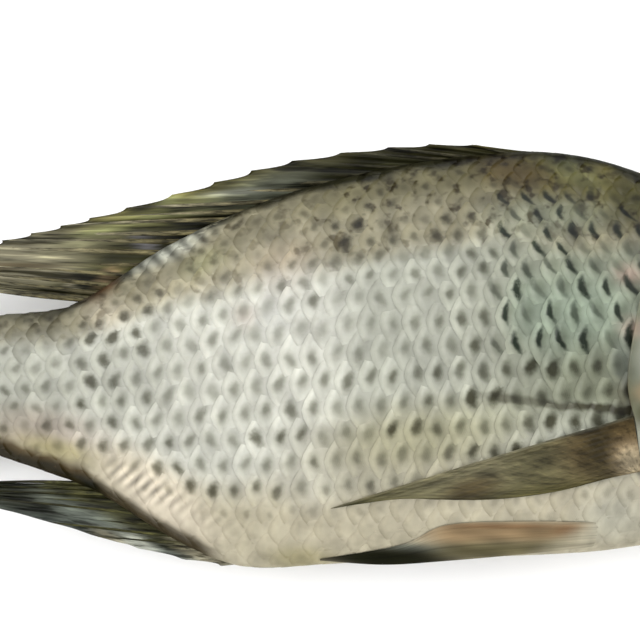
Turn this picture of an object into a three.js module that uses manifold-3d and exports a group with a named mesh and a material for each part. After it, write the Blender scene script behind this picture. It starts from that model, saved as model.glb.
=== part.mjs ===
// A whole raw fish of the tilapia kind, uncut, lying on its left flank with the right flank
// up. The trunk, the head, the gill covers, the lips and all the fins are one solid. Each
// eyeball is a ball of its own in its socket.
//
// Millimetres. +X to the head, +Y to the back, +Z up, out of the right flank.
// Shapes are described in the fish's own frame: x runs from the tail root to the snout,
// y from the body's axis to the back, and z from the mid-plane to the right flank. At the
// end everything is moved so that the origin is the middle of the footprint, on the plane
// that the fish rests on.

import * as THREE from 'three';
import { mergeVertices } from 'three/addons/utils/BufferGeometryUtils.js';
import Module from 'manifold-3d';

const wasm = await Module();
wasm.setup();

// ---------------------------------------------------------------- driving dimensions

const STANDARD_LENGTH = 250; // snout to tail root
const HALF_WIDTH = 23; // thickest half of the body
const FLATTENING = 1.8; // how far the lower flank gives where it rests
const TAIL_TIP = -54; // rear edge of the tail fin
const TAIL_DROOP = 9; // how far the tail fin's edge sinks below the mid-plane
const DROOP_START = 70; // station behind which the tail sinks

const BODY_AROUND = 44; // faces round the body
const BODY_ALONG = 38; // rings from tail root to snout
const SNOUT_CROWDING = 1.3; // above 1, the rings stand closer together at the snout

const FIN_SKIN = 0.35; // half thickness of a fin between its rays
const GILL_RISE = 1.8; // how far the gill cover's rear edge stands off the flank
const SUNK = 2.5; // how deep the hidden face of a plate reaches under the skin

const EYE_PLACE = [215, 11];
const EYE_RADIUS = 7.6;
const EYE_DEPTH = 4.6; // half thickness of the eyeball
const EYE_SINK = 2.7; // middle of the eyeball under the skin
const EYE_GAP = 0.3; // between eyeball and socket
const RIM_RADIUS = 1.5; // fold of skin round the eye

const NOSTRIL_PLACE = [232, 8];
const NOSTRIL_RADIUS = 1.3;

const MOUTH_CORNER = 237.5;
const MOUTH_SLOPE = 0.36; // the mouth falls this much for each millimetre backwards
const MOUTH_LEVEL = -3.2; // height of the slit at the snout's tip
const MOUTH_SLIT = 0.9;
const LIP_RADIUS = 2.1;

const SKIN = { color: 0xb9b9a5, roughness: 0.42, metalness: 0.1 };
const EYE = { color: 0x2a2a22, roughness: 0.12, metalness: 0.0 };

// ---------------------------------------------------------------- outlines of the body

/** A smooth function through [x, value] points, with the end values held outside them. */
function through(...points) {
  const last = points.length - 1;
  const slope = (i) => {
    const before = points[Math.max(i - 1, 0)];
    const after = points[Math.min(i + 1, last)];
    return (after[1] - before[1]) / (after[0] - before[0]);
  };
  return (x) => {
    if (x <= points[0][0]) return points[0][1];
    if (x >= points[last][0]) return points[last][1];
    const i = points.findIndex((point) => point[0] > x) - 1;
    const [x0, y0] = points[i];
    const [x1, y1] = points[i + 1];
    const span = x1 - x0;
    const t = (x - x0) / span;
    const rise = (y1 - y0) * t * t * (3 - 2 * t);
    const leaving = slope(i) * span * t * (1 - t) * (1 - t);
    const arriving = slope(i + 1) * span * t * t * (t - 1);
    return y0 + rise + leaving + arriving;
  };
}

const backLine = through(
  [0, 15], [4, 17.6], [10, 18.6], [20, 19.4], [34, 25], [52, 35.6], [79, 46.2], [109, 54.8],
  [139, 59.1], [154, 58], [169, 53.8], [189, 45.2], [214, 31], [235, 17.5], [246, 8.5],
  [250, 1],
);
const bellyLine = through(
  [0, -12.4], [4, -15.2], [10, -17.6], [19, -20.6], [33, -26], [51, -37], [64, -43.2],
  [74, -45], [94, -43.8], [124, -42.4], [154, -41], [169, -39.2], [184, -36],
  [214, -26.5], [235, -17.5], [246, -11.6], [250, -6],
);
const halfWidth = through(
  [0, 1.6], [5, 3.8], [10, 5.2], [20, 6.8], [34, 9.2], [52, 12.6], [70, 16.2], [90, 19.4],
  [110, 21.8], [130, HALF_WIDTH], [152, HALF_WIDTH], [166, 22.3], [180, 20.9], [200, 18.2],
  [220, 14.6], [235, 11.2], [244, 8.2], [248, 5.6], [250, 2.2],
);
const widestLine = through([0, 1.2], [60, 2], [100, 6], [140, 9], [170, 8], [200, 4], [250, -2.6]);
const backRoundness = through([0, 2], [60, 1.9], [110, 1.75], [150, 1.8], [180, 1.95], [250, 2]);
const bellyRoundness = through([0, 2], [60, 1.7], [100, 1.95], [150, 2.3], [200, 2.1], [250, 2]);

/** Height of the right flank over the mid-plane at station x and level y. */
function flank(x, y) {
  const middle = widestLine(x);
  const above = y >= middle;
  const edge = above ? backLine(x) - middle : middle - bellyLine(x);
  const power = above ? backRoundness(x) : bellyRoundness(x);
  const share = Math.min(Math.abs(y - middle) / edge, 1);
  return halfWidth(x) * (1 - share ** power) ** (1 / power);
}

/** How far a point at station x sinks below the mid-plane. */
function droop(x) {
  const share = Math.max(DROOP_START - x, 0) / (DROOP_START - TAIL_TIP);
  return TAIL_DROOP * share * share;
}

/** A matrix that seats a shape on the right flank: its Z leaves the skin. */
function seat([x, y], lift) {
  const step = 2;
  const along = (flank(x + step, y) - flank(x - step, y)) / (2 * step);
  const upward = (flank(x, y + step) - flank(x, y - step)) / (2 * step);
  const normal = new THREE.Vector3(-along, -upward, 1).normalize();
  const turn = new THREE.Quaternion().setFromUnitVectors(new THREE.Vector3(0, 0, 1), normal);
  const origin = new THREE.Vector3(x, y, flank(x, y)).addScaledVector(normal, lift);
  return new THREE.Matrix4().compose(origin, turn, new THREE.Vector3(1, 1, 1));
}

// ---------------------------------------------------------------- from shapes to solids

/** Moves every vertex of a geometry to where place(vertex) puts it. */
function warp(geometry, place) {
  const at = geometry.getAttribute('position');
  const point = new THREE.Vector3();
  for (let i = 0; i < at.count; i += 1) {
    point.fromBufferAttribute(at, i);
    place(point);
    at.setXYZ(i, point.x, point.y, point.z);
  }
  return geometry;
}

/** A closed geometry as a solid that can be joined and cut, with its faces outwards. */
function solid(geometry) {
  const bare = geometry.clone();
  bare.deleteAttribute('normal');
  bare.deleteAttribute('uv');
  const merged = mergeVertices(bare, 1e-4);
  const vertProperties = new Float32Array(merged.getAttribute('position').array);
  const triVerts = new Uint32Array(merged.getIndex().array);
  const made = new wasm.Manifold(new wasm.Mesh({ numProp: 3, vertProperties, triVerts }));
  if (made.volume() > 0) return made;
  for (let i = 0; i < triVerts.length; i += 3) {
    [triVerts[i], triVerts[i + 1]] = [triVerts[i + 1], triVerts[i]];
  }
  return new wasm.Manifold(new wasm.Mesh({ numProp: 3, vertProperties, triVerts }));
}

/** The solid of a piece of flesh or fin as it hangs. */
function hung(geometry) {
  return solid(warp(geometry.clone(), (point) => {
    point.z -= droop(point.x);
  }));
}

/** A right-hand piece and its twin on the left of the mid-plane. */
function both(geometry) {
  return [geometry, geometry.clone().scale(1, 1, -1)];
}

/** The largest shell of a solid: a hollow that joining sealed is filled, a scrap dropped. */
function outerShell(made) {
  return made.decompose().reduce((best, part) => (part.volume() > best.volume() ? part : best));
}

/** A solid as a named mesh. */
function meshOf(made, name, finish) {
  const raw = made.getMesh();
  const geometry = new THREE.BufferGeometry();
  geometry.setAttribute('position', new THREE.BufferAttribute(raw.vertProperties, raw.numProp));
  geometry.setIndex(new THREE.BufferAttribute(raw.triVerts, 1));
  geometry.computeVertexNormals();
  const mesh = new THREE.Mesh(geometry, new THREE.MeshStandardMaterial(finish));
  mesh.name = name;
  return mesh;
}

/** A flat curve through [x, y] points. */
function curve(...points) {
  return new THREE.SplineCurve(points.map(([x, y]) => new THREE.Vector2(x, y)));
}

// ---------------------------------------------------------------- trunk and head

/** The trunk and head: rings of a cylinder, each drawn out to the body's section there. */
function trunk() {
  const tube = new THREE.CylinderGeometry(1, 1, 1, BODY_AROUND, BODY_ALONG);
  return warp(tube, (point) => {
    const x = STANDARD_LENGTH * (1 - (0.5 - point.y) ** SNOUT_CROWDING);
    const above = point.z >= 0;
    const middle = widestLine(x);
    const reach = (above ? backLine(x) : bellyLine(x)) - middle;
    const power = 2 / (above ? backRoundness(x) : bellyRoundness(x));
    const out = Math.sign(point.x) * Math.abs(point.x) ** power;
    point.set(x, middle + reach * Math.abs(point.z) ** power, halfWidth(x) * out);
  });
}

/** A gill cover: a plate on the cheek whose rear edge stands off the flank. */
function gillCover() {
  const rear = curve(
    [175, 36], [168, 26], [165, 14], [163.5, 2], [165.5, -8], [168, -20], [176, -30], [192, -32.5],
  );
  const front = curve([187, 31], [191, 16], [192, 0], [194, -13], [201, -23], [210, -26]);
  return warp(new THREE.BoxGeometry(1, 1, 1, 5, 14, 1), (point) => {
    const towardsRear = point.x + 0.5;
    const down = 0.5 - point.y;
    const at = front.getPoint(down).lerp(rear.getPoint(down), towardsRear);
    const rise = point.z > 0 ? GILL_RISE * towardsRear ** 2 + 0.2 : -SUNK;
    point.set(at.x, at.y, flank(at.x, at.y) + rise);
  });
}

/** Height of the mouth's slit at station x. */
function mouthLevel(x) {
  return MOUTH_LEVEL + MOUTH_SLOPE * (x - STANDARD_LENGTH);
}

/** A lip: a tube that runs from one mouth corner round the snout to the other. */
function lip(side) {
  const stations = [MOUTH_CORNER, 242, 246, 248.8];
  const away = side * (LIP_RADIUS + MOUTH_SLIT / 2) * 0.8;
  const half = stations.map((x, i) => {
    const y = mouthLevel(x) + away * Math.min(i, 1);
    return new THREE.Vector3(x, y, flank(x, y) - 0.5);
  });
  const tip = new THREE.Vector3(STANDARD_LENGTH, mouthLevel(STANDARD_LENGTH) + away, 0);
  const other = half.map((point) => new THREE.Vector3(point.x, point.y, -point.z)).reverse();
  const path = new THREE.CatmullRomCurve3([...half, tip, ...other]);
  return warp(new THREE.CylinderGeometry(1, 1, 1, 8, 18), (point) => {
    const share = point.y + 0.5;
    const radius = LIP_RADIUS * (0.3 + 0.7 * Math.sin(Math.PI * share) ** 0.7);
    const up = new THREE.Vector3(0, 1, 0);
    const out = new THREE.Vector3().crossVectors(path.getTangent(share), up).normalize();
    const offset = up.multiplyScalar(point.x * radius).addScaledVector(out, point.z * radius);
    point.copy(path.getPoint(share)).add(offset);
  });
}

/** The slit between the lips. */
function mouthSlit() {
  const depth = 14;
  const overhang = 3;
  const slit = new THREE.BoxGeometry(depth + overhang, MOUTH_SLIT, 4 * halfWidth(MOUTH_CORNER));
  slit.rotateZ(Math.atan(MOUTH_SLOPE));
  const x = STANDARD_LENGTH - (depth - overhang) / 2;
  return slit.translate(x, mouthLevel(x), 0);
}

/** A lens seated in the right flank: an eyeball, its socket or a nostril. */
function lens(place, radius, depth, lift) {
  const ball = new THREE.SphereGeometry(1, 18, 10);
  ball.rotateX(Math.PI / 2);
  ball.scale(radius, radius, depth);
  return ball.applyMatrix4(seat(place, lift));
}

/** The fold of skin round the eye. */
function eyeRim() {
  const ring = new THREE.TorusGeometry(EYE_RADIUS + EYE_GAP, RIM_RADIUS, 6, 18);
  return ring.applyMatrix4(seat(EYE_PLACE, -RIM_RADIUS / 3));
}

// ---------------------------------------------------------------- fins

/**
 * A fin in the mid-plane: a plate whose rays run from a root curve to a margin curve. Each
 * ray is a ridge on both faces, and between rays the margin is notched.
 */
function medianFin({ root, margin, rays, steps, rootHalf, notch }) {
  return warp(new THREE.BoxGeometry(1, 1, 1, 2 * rays, steps, 1), (point) => {
    const along = point.x + 0.5;
    const out = point.y + 0.5;
    const between = Math.abs(Math.sin(Math.PI * along * rays));
    const foot = root.getPoint(along);
    const tip = margin.getPoint(along);
    const length = Math.max(foot.distanceTo(tip), 1);
    const at = foot.lerp(tip, out * (1 - (between * notch(along)) / length));
    const ridge = (rootHalf - FIN_SKIN) * (1 - out) ** 0.7 * (1 - 0.55 * between);
    point.set(at.x, at.y, Math.sign(point.z) * (FIN_SKIN + ridge));
  });
}

/** The back fin, folded down: hard spines in front and a soft lobe behind. */
function backFin() {
  const spinyShare = 0.66;
  return medianFin({
    root: curve([158, 56], [139, 56.5], [109, 52], [79, 43.2], [52, 32.6], [34, 23], [30, 20.5]),
    margin: curve(
      [146, 60.2], [124, 61.2], [104, 60], [79, 56.2], [59, 50.4], [36, 43.8], [20, 39.6],
      [5, 35.8], [-6, 31.6], [-10, 28], [-6, 25.2], [3, 23.8],
    ),
    rays: 23,
    steps: 3,
    rootHalf: 1.7,
    notch: (along) => (along < spinyShare ? 2.6 : 0.5),
  });
}

/** The anal fin, folded back along the tail stalk. */
function analFin() {
  const spinyShare = 0.25;
  return medianFin({
    root: curve([74, -43], [64, -40.6], [51, -34.6], [36, -26], [29, -22.4]),
    margin: curve(
      [64, -44.4], [52, -42.2], [38, -38.6], [24, -34.4], [9, -30.4], [-3, -26.4], [-8, -24],
      [-4, -22.6], [5, -22.2],
    ),
    rays: 10,
    steps: 3,
    rootHalf: 1.5,
    notch: (along) => (along < spinyShare ? 1.6 : 0.4),
  });
}

/** The tail fin, half spread, with a straight rear edge and rounded corners. */
function tailFin() {
  return medianFin({
    root: curve([7, 17.4], [4, 10], [3, 1.2], [4, -8], [7, -15]),
    margin: curve(
      [-44, 32], [-50, 24], [-53.2, 13], [TAIL_TIP, 1.4], [-53.2, -10], [-50, -20.5],
      [-44, -28.5],
    ),
    rays: 14,
    steps: 4,
    rootHalf: 2.4,
    notch: () => 0.9,
  });
}

/** A breast fin, folded back on the flank. */
function breastFin() {
  const rays = 8;
  const sag = 1.9; // the folded fin bows down by this much
  const root = curve([164.5, -6], [167, -20]);
  const margin = curve(
    [86.5, -31.2], [93, -31], [104, -29.4], [117, -28.6], [130, -27.6], [143, -25], [156, -22.6],
  );
  return warp(new THREE.BoxGeometry(1, 1, 1, 2 * rays, 6, 1), (point) => {
    const across = point.x + 0.5;
    const back = point.y + 0.5;
    const between = Math.abs(Math.sin(Math.PI * across * rays));
    const at = root.getPoint(across).lerp(margin.getPoint(across), back);
    at.y -= sag * Math.sin(Math.PI * back) * (1 - across);
    const rise = point.z > 0 ? 0.55 + 1.2 * (1 - back) ** 2 + 0.35 * (1 - between) : -SUNK;
    point.set(at.x, at.y, flank(at.x, at.y) + rise);
  });
}

/** A belly fin, folded back along the edge of the belly. */
function bellyFin() {
  const rays = 5;
  const keel = 4.2; // distance of the fin's lower edge from the mid-plane
  const upper = curve([159, -33.6], [140, -33.2], [118, -34.2], [100, -38.4], [90, -40.6]);
  const lower = curve([158, -39.8], [140, -42.6], [120, -44.3], [104, -44.9], [88, -43.4]);
  return warp(new THREE.BoxGeometry(1, 1, 1, 6, 2 * rays, 1), (point) => {
    const back = point.x + 0.5;
    const down = 0.5 - point.y;
    const between = Math.abs(Math.sin(Math.PI * down * rays));
    const high = upper.getPoint(back);
    const outer = flank(high.x, high.y) + 0.7;
    const at = high.lerp(lower.getPoint(back), down);
    const half = 0.5 + 0.35 * (1 - between) * (1 - back);
    const z = outer + (keel - outer) * down ** 1.4;
    point.set(at.x, at.y, z + (point.z > 0 ? half : -half - 0.9 * (1 - down)));
  });
}

// ---------------------------------------------------------------- the fish

/** The fish without its eyeballs. */
function wholeFish() {
  const fleshy = [
    trunk(),
    ...both(gillCover()),
    ...both(eyeRim()),
    ...both(breastFin()),
    ...both(bellyFin()),
    lip(1),
    lip(-1),
    backFin(),
    analFin(),
    tailFin(),
  ];
  const socket = lens(EYE_PLACE, EYE_RADIUS + EYE_GAP, EYE_DEPTH + EYE_GAP, -EYE_SINK);
  const nostril = lens(NOSTRIL_PLACE, NOSTRIL_RADIUS, NOSTRIL_RADIUS, 0);
  const hollows = [...both(socket), ...both(nostril), mouthSlit()];
  return hollows.reduce(
    (fish, hollow) => fish.subtract(solid(hollow)),
    wasm.Manifold.union(fleshy.map(hung)),
  );
}

/** A solid with all that would lie below the resting plane pressed away. */
function rested(made) {
  const size = 2 * STANDARD_LENGTH;
  const above = new THREE.BoxGeometry(size, size, size);
  above.translate(0, 0, size / 2 - HALF_WIDTH + FLATTENING);
  return made.intersect(solid(above));
}

const [eyeRight, eyeLeft] = both(lens(EYE_PLACE, EYE_RADIUS, EYE_DEPTH, -EYE_SINK));

const group = new THREE.Group();
group.add(
  meshOf(outerShell(rested(wholeFish())), 'fish', SKIN),
  meshOf(solid(eyeRight), 'eye_right', EYE),
  meshOf(solid(eyeLeft), 'eye_left', EYE),
);

const box = new THREE.Box3().setFromObject(group);
const centre = box.getCenter(new THREE.Vector3());
for (const mesh of group.children) mesh.position.set(-centre.x, -centre.y, -box.min.z);

export default group;
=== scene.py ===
"""The looks of a whole raw fish of the tilapia kind, lying on its left flank.

Shapes are worked out in millimetres in the fish's own frame: x runs from the tail root to
the snout, y from the body's axis to the back, and z from the mid-plane to the right flank.
The body's outlines and the fins' edges follow the frame's solids, and Form.to_row moves
every piece into the frame's metres.
"""

import logging
import math
from collections.abc import Callable
from dataclasses import dataclass
from enum import Enum
from functools import cache
from typing import Protocol

import bmesh
import bpy
import numpy as np
from mathutils import Matrix, Vector


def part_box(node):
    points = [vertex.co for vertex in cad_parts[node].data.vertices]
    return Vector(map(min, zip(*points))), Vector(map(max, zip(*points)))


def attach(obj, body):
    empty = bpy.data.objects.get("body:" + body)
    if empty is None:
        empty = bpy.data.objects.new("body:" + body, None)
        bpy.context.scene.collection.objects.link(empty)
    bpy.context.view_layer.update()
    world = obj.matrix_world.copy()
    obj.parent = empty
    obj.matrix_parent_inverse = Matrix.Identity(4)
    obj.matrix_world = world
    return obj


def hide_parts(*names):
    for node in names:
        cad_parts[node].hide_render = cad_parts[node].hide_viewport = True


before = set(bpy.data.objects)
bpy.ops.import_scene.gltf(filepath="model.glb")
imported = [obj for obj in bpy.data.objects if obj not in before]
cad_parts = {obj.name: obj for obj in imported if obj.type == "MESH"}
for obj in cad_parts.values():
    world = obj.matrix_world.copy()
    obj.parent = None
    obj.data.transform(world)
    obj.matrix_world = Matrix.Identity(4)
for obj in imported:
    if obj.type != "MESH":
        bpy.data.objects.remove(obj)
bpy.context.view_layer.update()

MM = 0.001
Array = np.ndarray
Pair = tuple[float, float]
Triple = tuple[float, float, float]
Curve = Callable[[Array], Array]
Place = Callable[[Array, Array], Array]


class Side(Enum):
    """A flank of the fish, as the sign of z there."""

    RIGHT = 1
    LEFT = -1

    @property
    def word(self) -> str:
        """The side's name in the names of pieces."""
        return self.name.lower()


# ------------------------------------------------------------------ numbers and curves


def smooth(value: Array, start: float, end: float) -> Array:
    """A soft step.

    Args:
        value: What is compared.
        start: Where the step leaves 0.
        end: Where it reaches 1. It may be lower than start.

    Returns:
        0 to 1 for each value.
    """
    t = np.clip((value - start) / (end - start), 0, 1)
    return t * t * (3 - 2 * t)


def between(value: Array, start: float, full: float, fading: float, end: float) -> Array:
    """1 between full and fading, with soft edges that reach 0 at start and end."""
    return smooth(value, start, full) * smooth(value, end, fading)


def bump(distance: Array, width: float) -> Array:
    """A bell of height 1 that has fallen to a third at the given width."""
    return np.exp(-((distance / width) ** 2))


def mound(x: Array, y: Array, centre: Pair, reach: Pair,
          power: float = 1.0, tilt: float = 0.0) -> Array:
    """An oval bell of height 1.

    Args:
        x: First coordinates.
        y: Second coordinates.
        centre: Where its top lies.
        reach: Along and across: how far out it has fallen to a third.
        power: Above 1 its top is flatter and its edge steeper.
        tilt: How far it is turned, in degrees.

    Returns:
        Its height at each point.
    """
    turn = math.radians(tilt)
    dx, dy = x - centre[0], y - centre[1]
    along = (dx * math.cos(turn) + dy * math.sin(turn)) / reach[0]
    across = (dy * math.cos(turn) - dx * math.sin(turn)) / reach[1]
    return np.exp(-((along**2 + across**2) ** power))


def unit(vectors: Array) -> Array:
    """The vectors with length 1."""
    return vectors / np.maximum(np.linalg.norm(vectors, axis=-1, keepdims=True), 1e-9)


def ripple(x: Array, y: Array, size: float, seed: int) -> Array:
    """A smooth random field, the same at every run.

    Args:
        x: First coordinates.
        y: Second coordinates.
        size: Typical distance between a crest and the next, in the coordinates' unit.
        seed: Number of the draw.

    Returns:
        Values from about -1 to 1.
    """
    draw = np.random.default_rng(seed)
    total = np.zeros_like(x, dtype=float)
    waves, slowest, fastest = 9, 0.55, 1.6
    for _ in range(waves):
        angle, phase = draw.uniform(0, 2 * math.pi, 2)
        pace = 2 * math.pi / size * draw.uniform(slowest, fastest)
        total += np.sin(pace * (x * math.cos(angle) + y * math.sin(angle)) + phase)
    return total / math.sqrt(waves * fastest)


@dataclass(frozen=True)
class Graph:
    """A smooth function through (x, value) points, level outside them."""

    points: tuple[Pair, ...]

    def __call__(self, x: Array) -> Array:
        """The function's values at x."""
        xs, ys = np.array(self.points, float).T
        order = np.arange(len(xs))
        before, after = np.maximum(order - 1, 0), np.minimum(order + 1, len(xs) - 1)
        slopes = (ys[after] - ys[before]) / (xs[after] - xs[before])
        x = np.clip(x, xs[0], xs[-1])
        i = np.clip(np.searchsorted(xs, x, side="right") - 1, 0, len(xs) - 2)
        span = xs[i + 1] - xs[i]
        t = (x - xs[i]) / span
        rise = (ys[i + 1] - ys[i]) * t * t * (3 - 2 * t)
        leaving = slopes[i] * span * t * (1 - t) ** 2
        return ys[i] + rise + leaving + slopes[i + 1] * span * t * t * (t - 1)


@dataclass(frozen=True)
class Sweep:
    """A curve through points, with a share from 0 to 1 along it."""

    points: tuple[tuple[float, ...], ...]

    def __call__(self, share: Array) -> Array:
        """The curve's points at the shares."""
        knots = np.array(self.points, float)
        last = len(knots) - 1
        at = np.clip(share, 0, 1) * last
        i = np.minimum(at.astype(int), last - 1)
        w = (at - i)[:, None]
        p0, p1, p2 = knots[np.maximum(i - 1, 0)], knots[i], knots[i + 1]
        p3 = knots[np.minimum(i + 2, last)]
        v0, v1 = (p2 - p0) / 2, (p3 - p1) / 2
        cubic = (2 * p1 - 2 * p2 + v0 + v1) * w**3
        return cubic + (-3 * p1 + 3 * p2 - 2 * v0 - v1) * w**2 + v0 * w + p1

    def gap(self, x: Array, y: Array) -> Array:
        """Distance of points (x, y) to the curve."""
        knots = self(np.linspace(0, 1, 50))
        return np.minimum.reduce([np.hypot(x - knot[0], y - knot[1]) for knot in knots])


# ------------------------------------------------------------------ the body's form


@dataclass(frozen=True)
class Form:
    """The trunk and head without scales: outlines, sections, and how the fish lies."""

    length: float = 250.0
    tail_tip: float = -54.0
    tail_droop: float = 9.0
    droop_start: float = 70.0
    rest_level: float = -21.2
    press_start: float = -20.4
    eye_place: Pair = (215.0, 11.0)
    eye_sink: float = 2.7
    back: Graph = Graph((
        (0, 15), (4, 17.6), (10, 18.6), (20, 19.4), (27, 20.9), (34, 24.6), (52, 36.2),
        (79, 48), (109, 55.6), (139, 59.1), (154, 58), (169, 53.8), (189, 45.2), (214, 31),
        (235, 17.5), (246, 8.5), (250, 1),
    ))
    belly: Graph = Graph((
        (0, -12.4), (4, -15.2), (10, -17.6), (19, -20.6), (33, -26), (51, -37),
        (64, -43.2), (74, -45), (94, -43.8), (124, -42.4), (154, -41), (169, -39.2),
        (184, -36), (214, -26.5), (235, -17.5), (246, -11.6), (250, -6),
    ))
    half: Graph = Graph((
        (0, 1.6), (5, 3.8), (10, 5.2), (20, 6.8), (34, 9.2), (52, 12.6), (70, 16.2),
        (90, 19.4), (110, 21.8), (130, 23), (152, 23), (166, 22.3), (180, 20.9),
        (200, 18.2), (220, 14.6), (235, 11.2), (244, 8.2), (248, 5.6), (250, 2.2),
    ))
    widest: Graph = Graph((
        (0, 1.2), (60, 2), (100, 6), (140, 9), (170, 8), (200, 4), (250, -2.6),
    ))
    back_power: Graph = Graph((
        (0, 2), (60, 1.9), (110, 1.75), (150, 1.8), (180, 1.95), (250, 2),
    ))
    belly_power: Graph = Graph((
        (0, 2), (60, 1.7), (100, 1.95), (150, 2.3), (200, 2.1), (250, 2),
    ))

    def section(self, x: Array, above: Array) -> tuple[Array, Array]:
        """Depth and power of the sections above or below their widest line."""
        middle = self.widest(x)
        edge = np.where(above, self.back(x) - middle, middle - self.belly(x))
        return edge, np.where(above, self.back_power(x), self.belly_power(x))

    def flank(self, x: Array, y: Array) -> Array:
        """Height of the right flank over the mid-plane."""
        middle = self.widest(x)
        edge, power = self.section(x, y >= middle)
        share = np.minimum(np.abs(y - middle) / edge, 1)
        return self.half(x) * (1 - share**power) ** (1 / power)

    def ring(self, x: Array, angle: Array) -> Array:
        """Points of the body's sections.

        Args:
            x: Stations.
            angle: -90 degrees at the keel, 0 at the widest line of the right flank, 90 at
                the ridge and 180 on the left flank, in radians.

        Returns:
            One point for each pair.
        """
        rise, out = np.sin(angle), np.cos(angle)
        edge, power = self.section(x, rise >= 0)
        y = self.widest(x) + np.sign(rise) * edge * np.abs(rise) ** (2 / power)
        z = self.half(x) * np.sign(out) * np.abs(out) ** (2 / power)
        return np.stack([x, y, z], axis=-1)

    def height_share(self, x: Array, y: Array) -> Array:
        """0 at the keel's line to 1 at the back's line."""
        low = self.belly(x)
        return (y - low) / (self.back(x) - low)

    def normal(self, x: Array, y: Array, step: float = 2.0) -> Array:
        """The direction that leaves the right flank at (x, y)."""
        along = (self.flank(x + step, y) - self.flank(x - step, y)) / (2 * step)
        upward = (self.flank(x, y + step) - self.flank(x, y - step)) / (2 * step)
        return unit(np.stack([-along, -upward, np.ones_like(along)], axis=-1))

    def from_eye(self, x: Array, y: Array) -> Array:
        """Distance of points (x, y) from the middle of the eye."""
        return np.hypot(x - self.eye_place[0], y - self.eye_place[1])

    def lying(self, points: Array) -> Array:
        """Points of the fish as it lies: its tail sinks and its lower flank gives.

        Args:
            points: Points of the straight fish.

        Returns:
            The same points, moved.
        """
        made = np.array(points, float)
        share = np.maximum(self.droop_start - made[:, 0], 0)
        share = share / (self.droop_start - self.tail_tip)
        made[:, 2] -= self.tail_droop * share**2
        room = self.press_start - self.rest_level
        deep = np.maximum(self.press_start - made[:, 2], 0)
        pressed = self.press_start - room * (1 - np.exp(-deep / room))
        made[:, 2] = np.where(deep > 0, pressed, made[:, 2])
        return made

    def origin(self) -> Array:
        """Where the fish's own origin lies in the frame, in metres, from the eyes' nodes."""
        x, y = (np.array([value]) for value in self.eye_place)
        eye = np.stack([x, y, self.flank(x, y)], axis=-1)
        eye = (eye - self.eye_sink * self.normal(x, y))[0] * MM
        boxes = [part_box(f"eye_{side.word}") for side in Side]
        middles = np.array([(low + high) / 2 for low, high in boxes])
        return middles.mean(axis=0) - np.array([eye[0], eye[1], 0])

    def to_row(self, points: Array) -> Array:
        """Points of the straight fish in millimetres as points of the frame in metres."""
        return self.lying(points) * MM + self.origin()


class SkinChart:
    """The right flank unrolled: x is the station, s the distance along the skin.

    s is 0 on the axis of the scale rows and grows towards the back. Past the ridge and the
    keel it goes on down the other flank.
    """

    x_step = 1.0
    s_step = 0.5
    s_reach = 92.0
    axis = Graph(((0, -9.6), (28.5, -9), (80, -5.2), (120, -2.5), (165, 0), (210, 2)))

    def __init__(self, form: Form) -> None:
        """Measures the skin of a form."""
        self.form = form
        self.stations = np.arange(0, form.length + self.x_step, self.x_step)
        self.grid = np.arange(-self.s_reach, self.s_reach + self.s_step, self.s_step)
        around = np.linspace(-math.pi / 2, math.pi / 2, 361)
        rows, ends = [], []
        for station in self.stations:
            ring = form.ring(np.full_like(around, station), around)[:, 1:]
            steps = np.linalg.norm(np.diff(ring, axis=0), axis=1)
            arc = np.concatenate([[0], np.cumsum(steps)])
            arc -= np.interp(self.axis(np.array([station]))[0], ring[:, 0], arc)
            low, high = arc[0], arc[-1]
            turned = ring[::-1] * np.array([1, -1])
            arcs = np.concatenate([2 * low - arc[::-1], arc[1:], (2 * high - arc[::-1])[1:]])
            rings = np.concatenate([turned, ring[1:], turned[1:]])
            rows.append(np.stack([np.interp(self.grid, arcs, rings[:, i]) for i in (0, 1)], -1))
            ends.append((low, high))
        self.table = np.array(rows)
        self.ends = np.array(ends)

    def point(self, x: Array, s: Array) -> Array:
        """Points of the skin at stations x and distances s."""
        at = np.clip(x / self.x_step, 0, len(self.stations) - 1.001)
        up = np.clip((s + self.s_reach) / self.s_step, 0, len(self.grid) - 1.001)
        i, j = at.astype(int), up.astype(int)
        a, b = (at - i)[..., None], (up - j)[..., None]
        near = self.table[i, j] * (1 - b) + self.table[i, j + 1] * b
        far = self.table[i + 1, j] * (1 - b) + self.table[i + 1, j + 1] * b
        return np.concatenate([np.asarray(x)[..., None], near * (1 - a) + far * a], axis=-1)

    def normal(self, x: Array, s: Array, step: float = 1.5) -> Array:
        """The direction that leaves the skin at stations x and distances s."""
        along = self.point(x + step, s) - self.point(x - step, s)
        across = self.point(x, s + step) - self.point(x, s - step)
        return unit(np.cross(along, across))

    def span(self, x: Array) -> tuple[Array, Array]:
        """The distances s of the keel and of the ridge at stations x."""
        low = np.interp(x, self.stations, self.ends[:, 0])
        return low, np.interp(x, self.stations, self.ends[:, 1])


# ------------------------------------------------------------------ colours of the skin


def linear(code: str) -> tuple[float, float, float, float]:
    """A colour for a shader.

    Args:
        code: Six hex digits of sRGB.

    Returns:
        Linear red, green, blue and an alpha of 1.
    """
    parts = [int(code[i : i + 2], 16) / 255 for i in (0, 2, 4)]
    bent = [p / 12.92 if p <= 0.04045 else ((p + 0.055) / 1.055) ** 2.4 for p in parts]
    return bent[0], bent[1], bent[2], 1.0


def rgb(code: str) -> Array:
    """The linear red, green and blue of a hex colour."""
    return np.array(linear(code)[:3])


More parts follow.
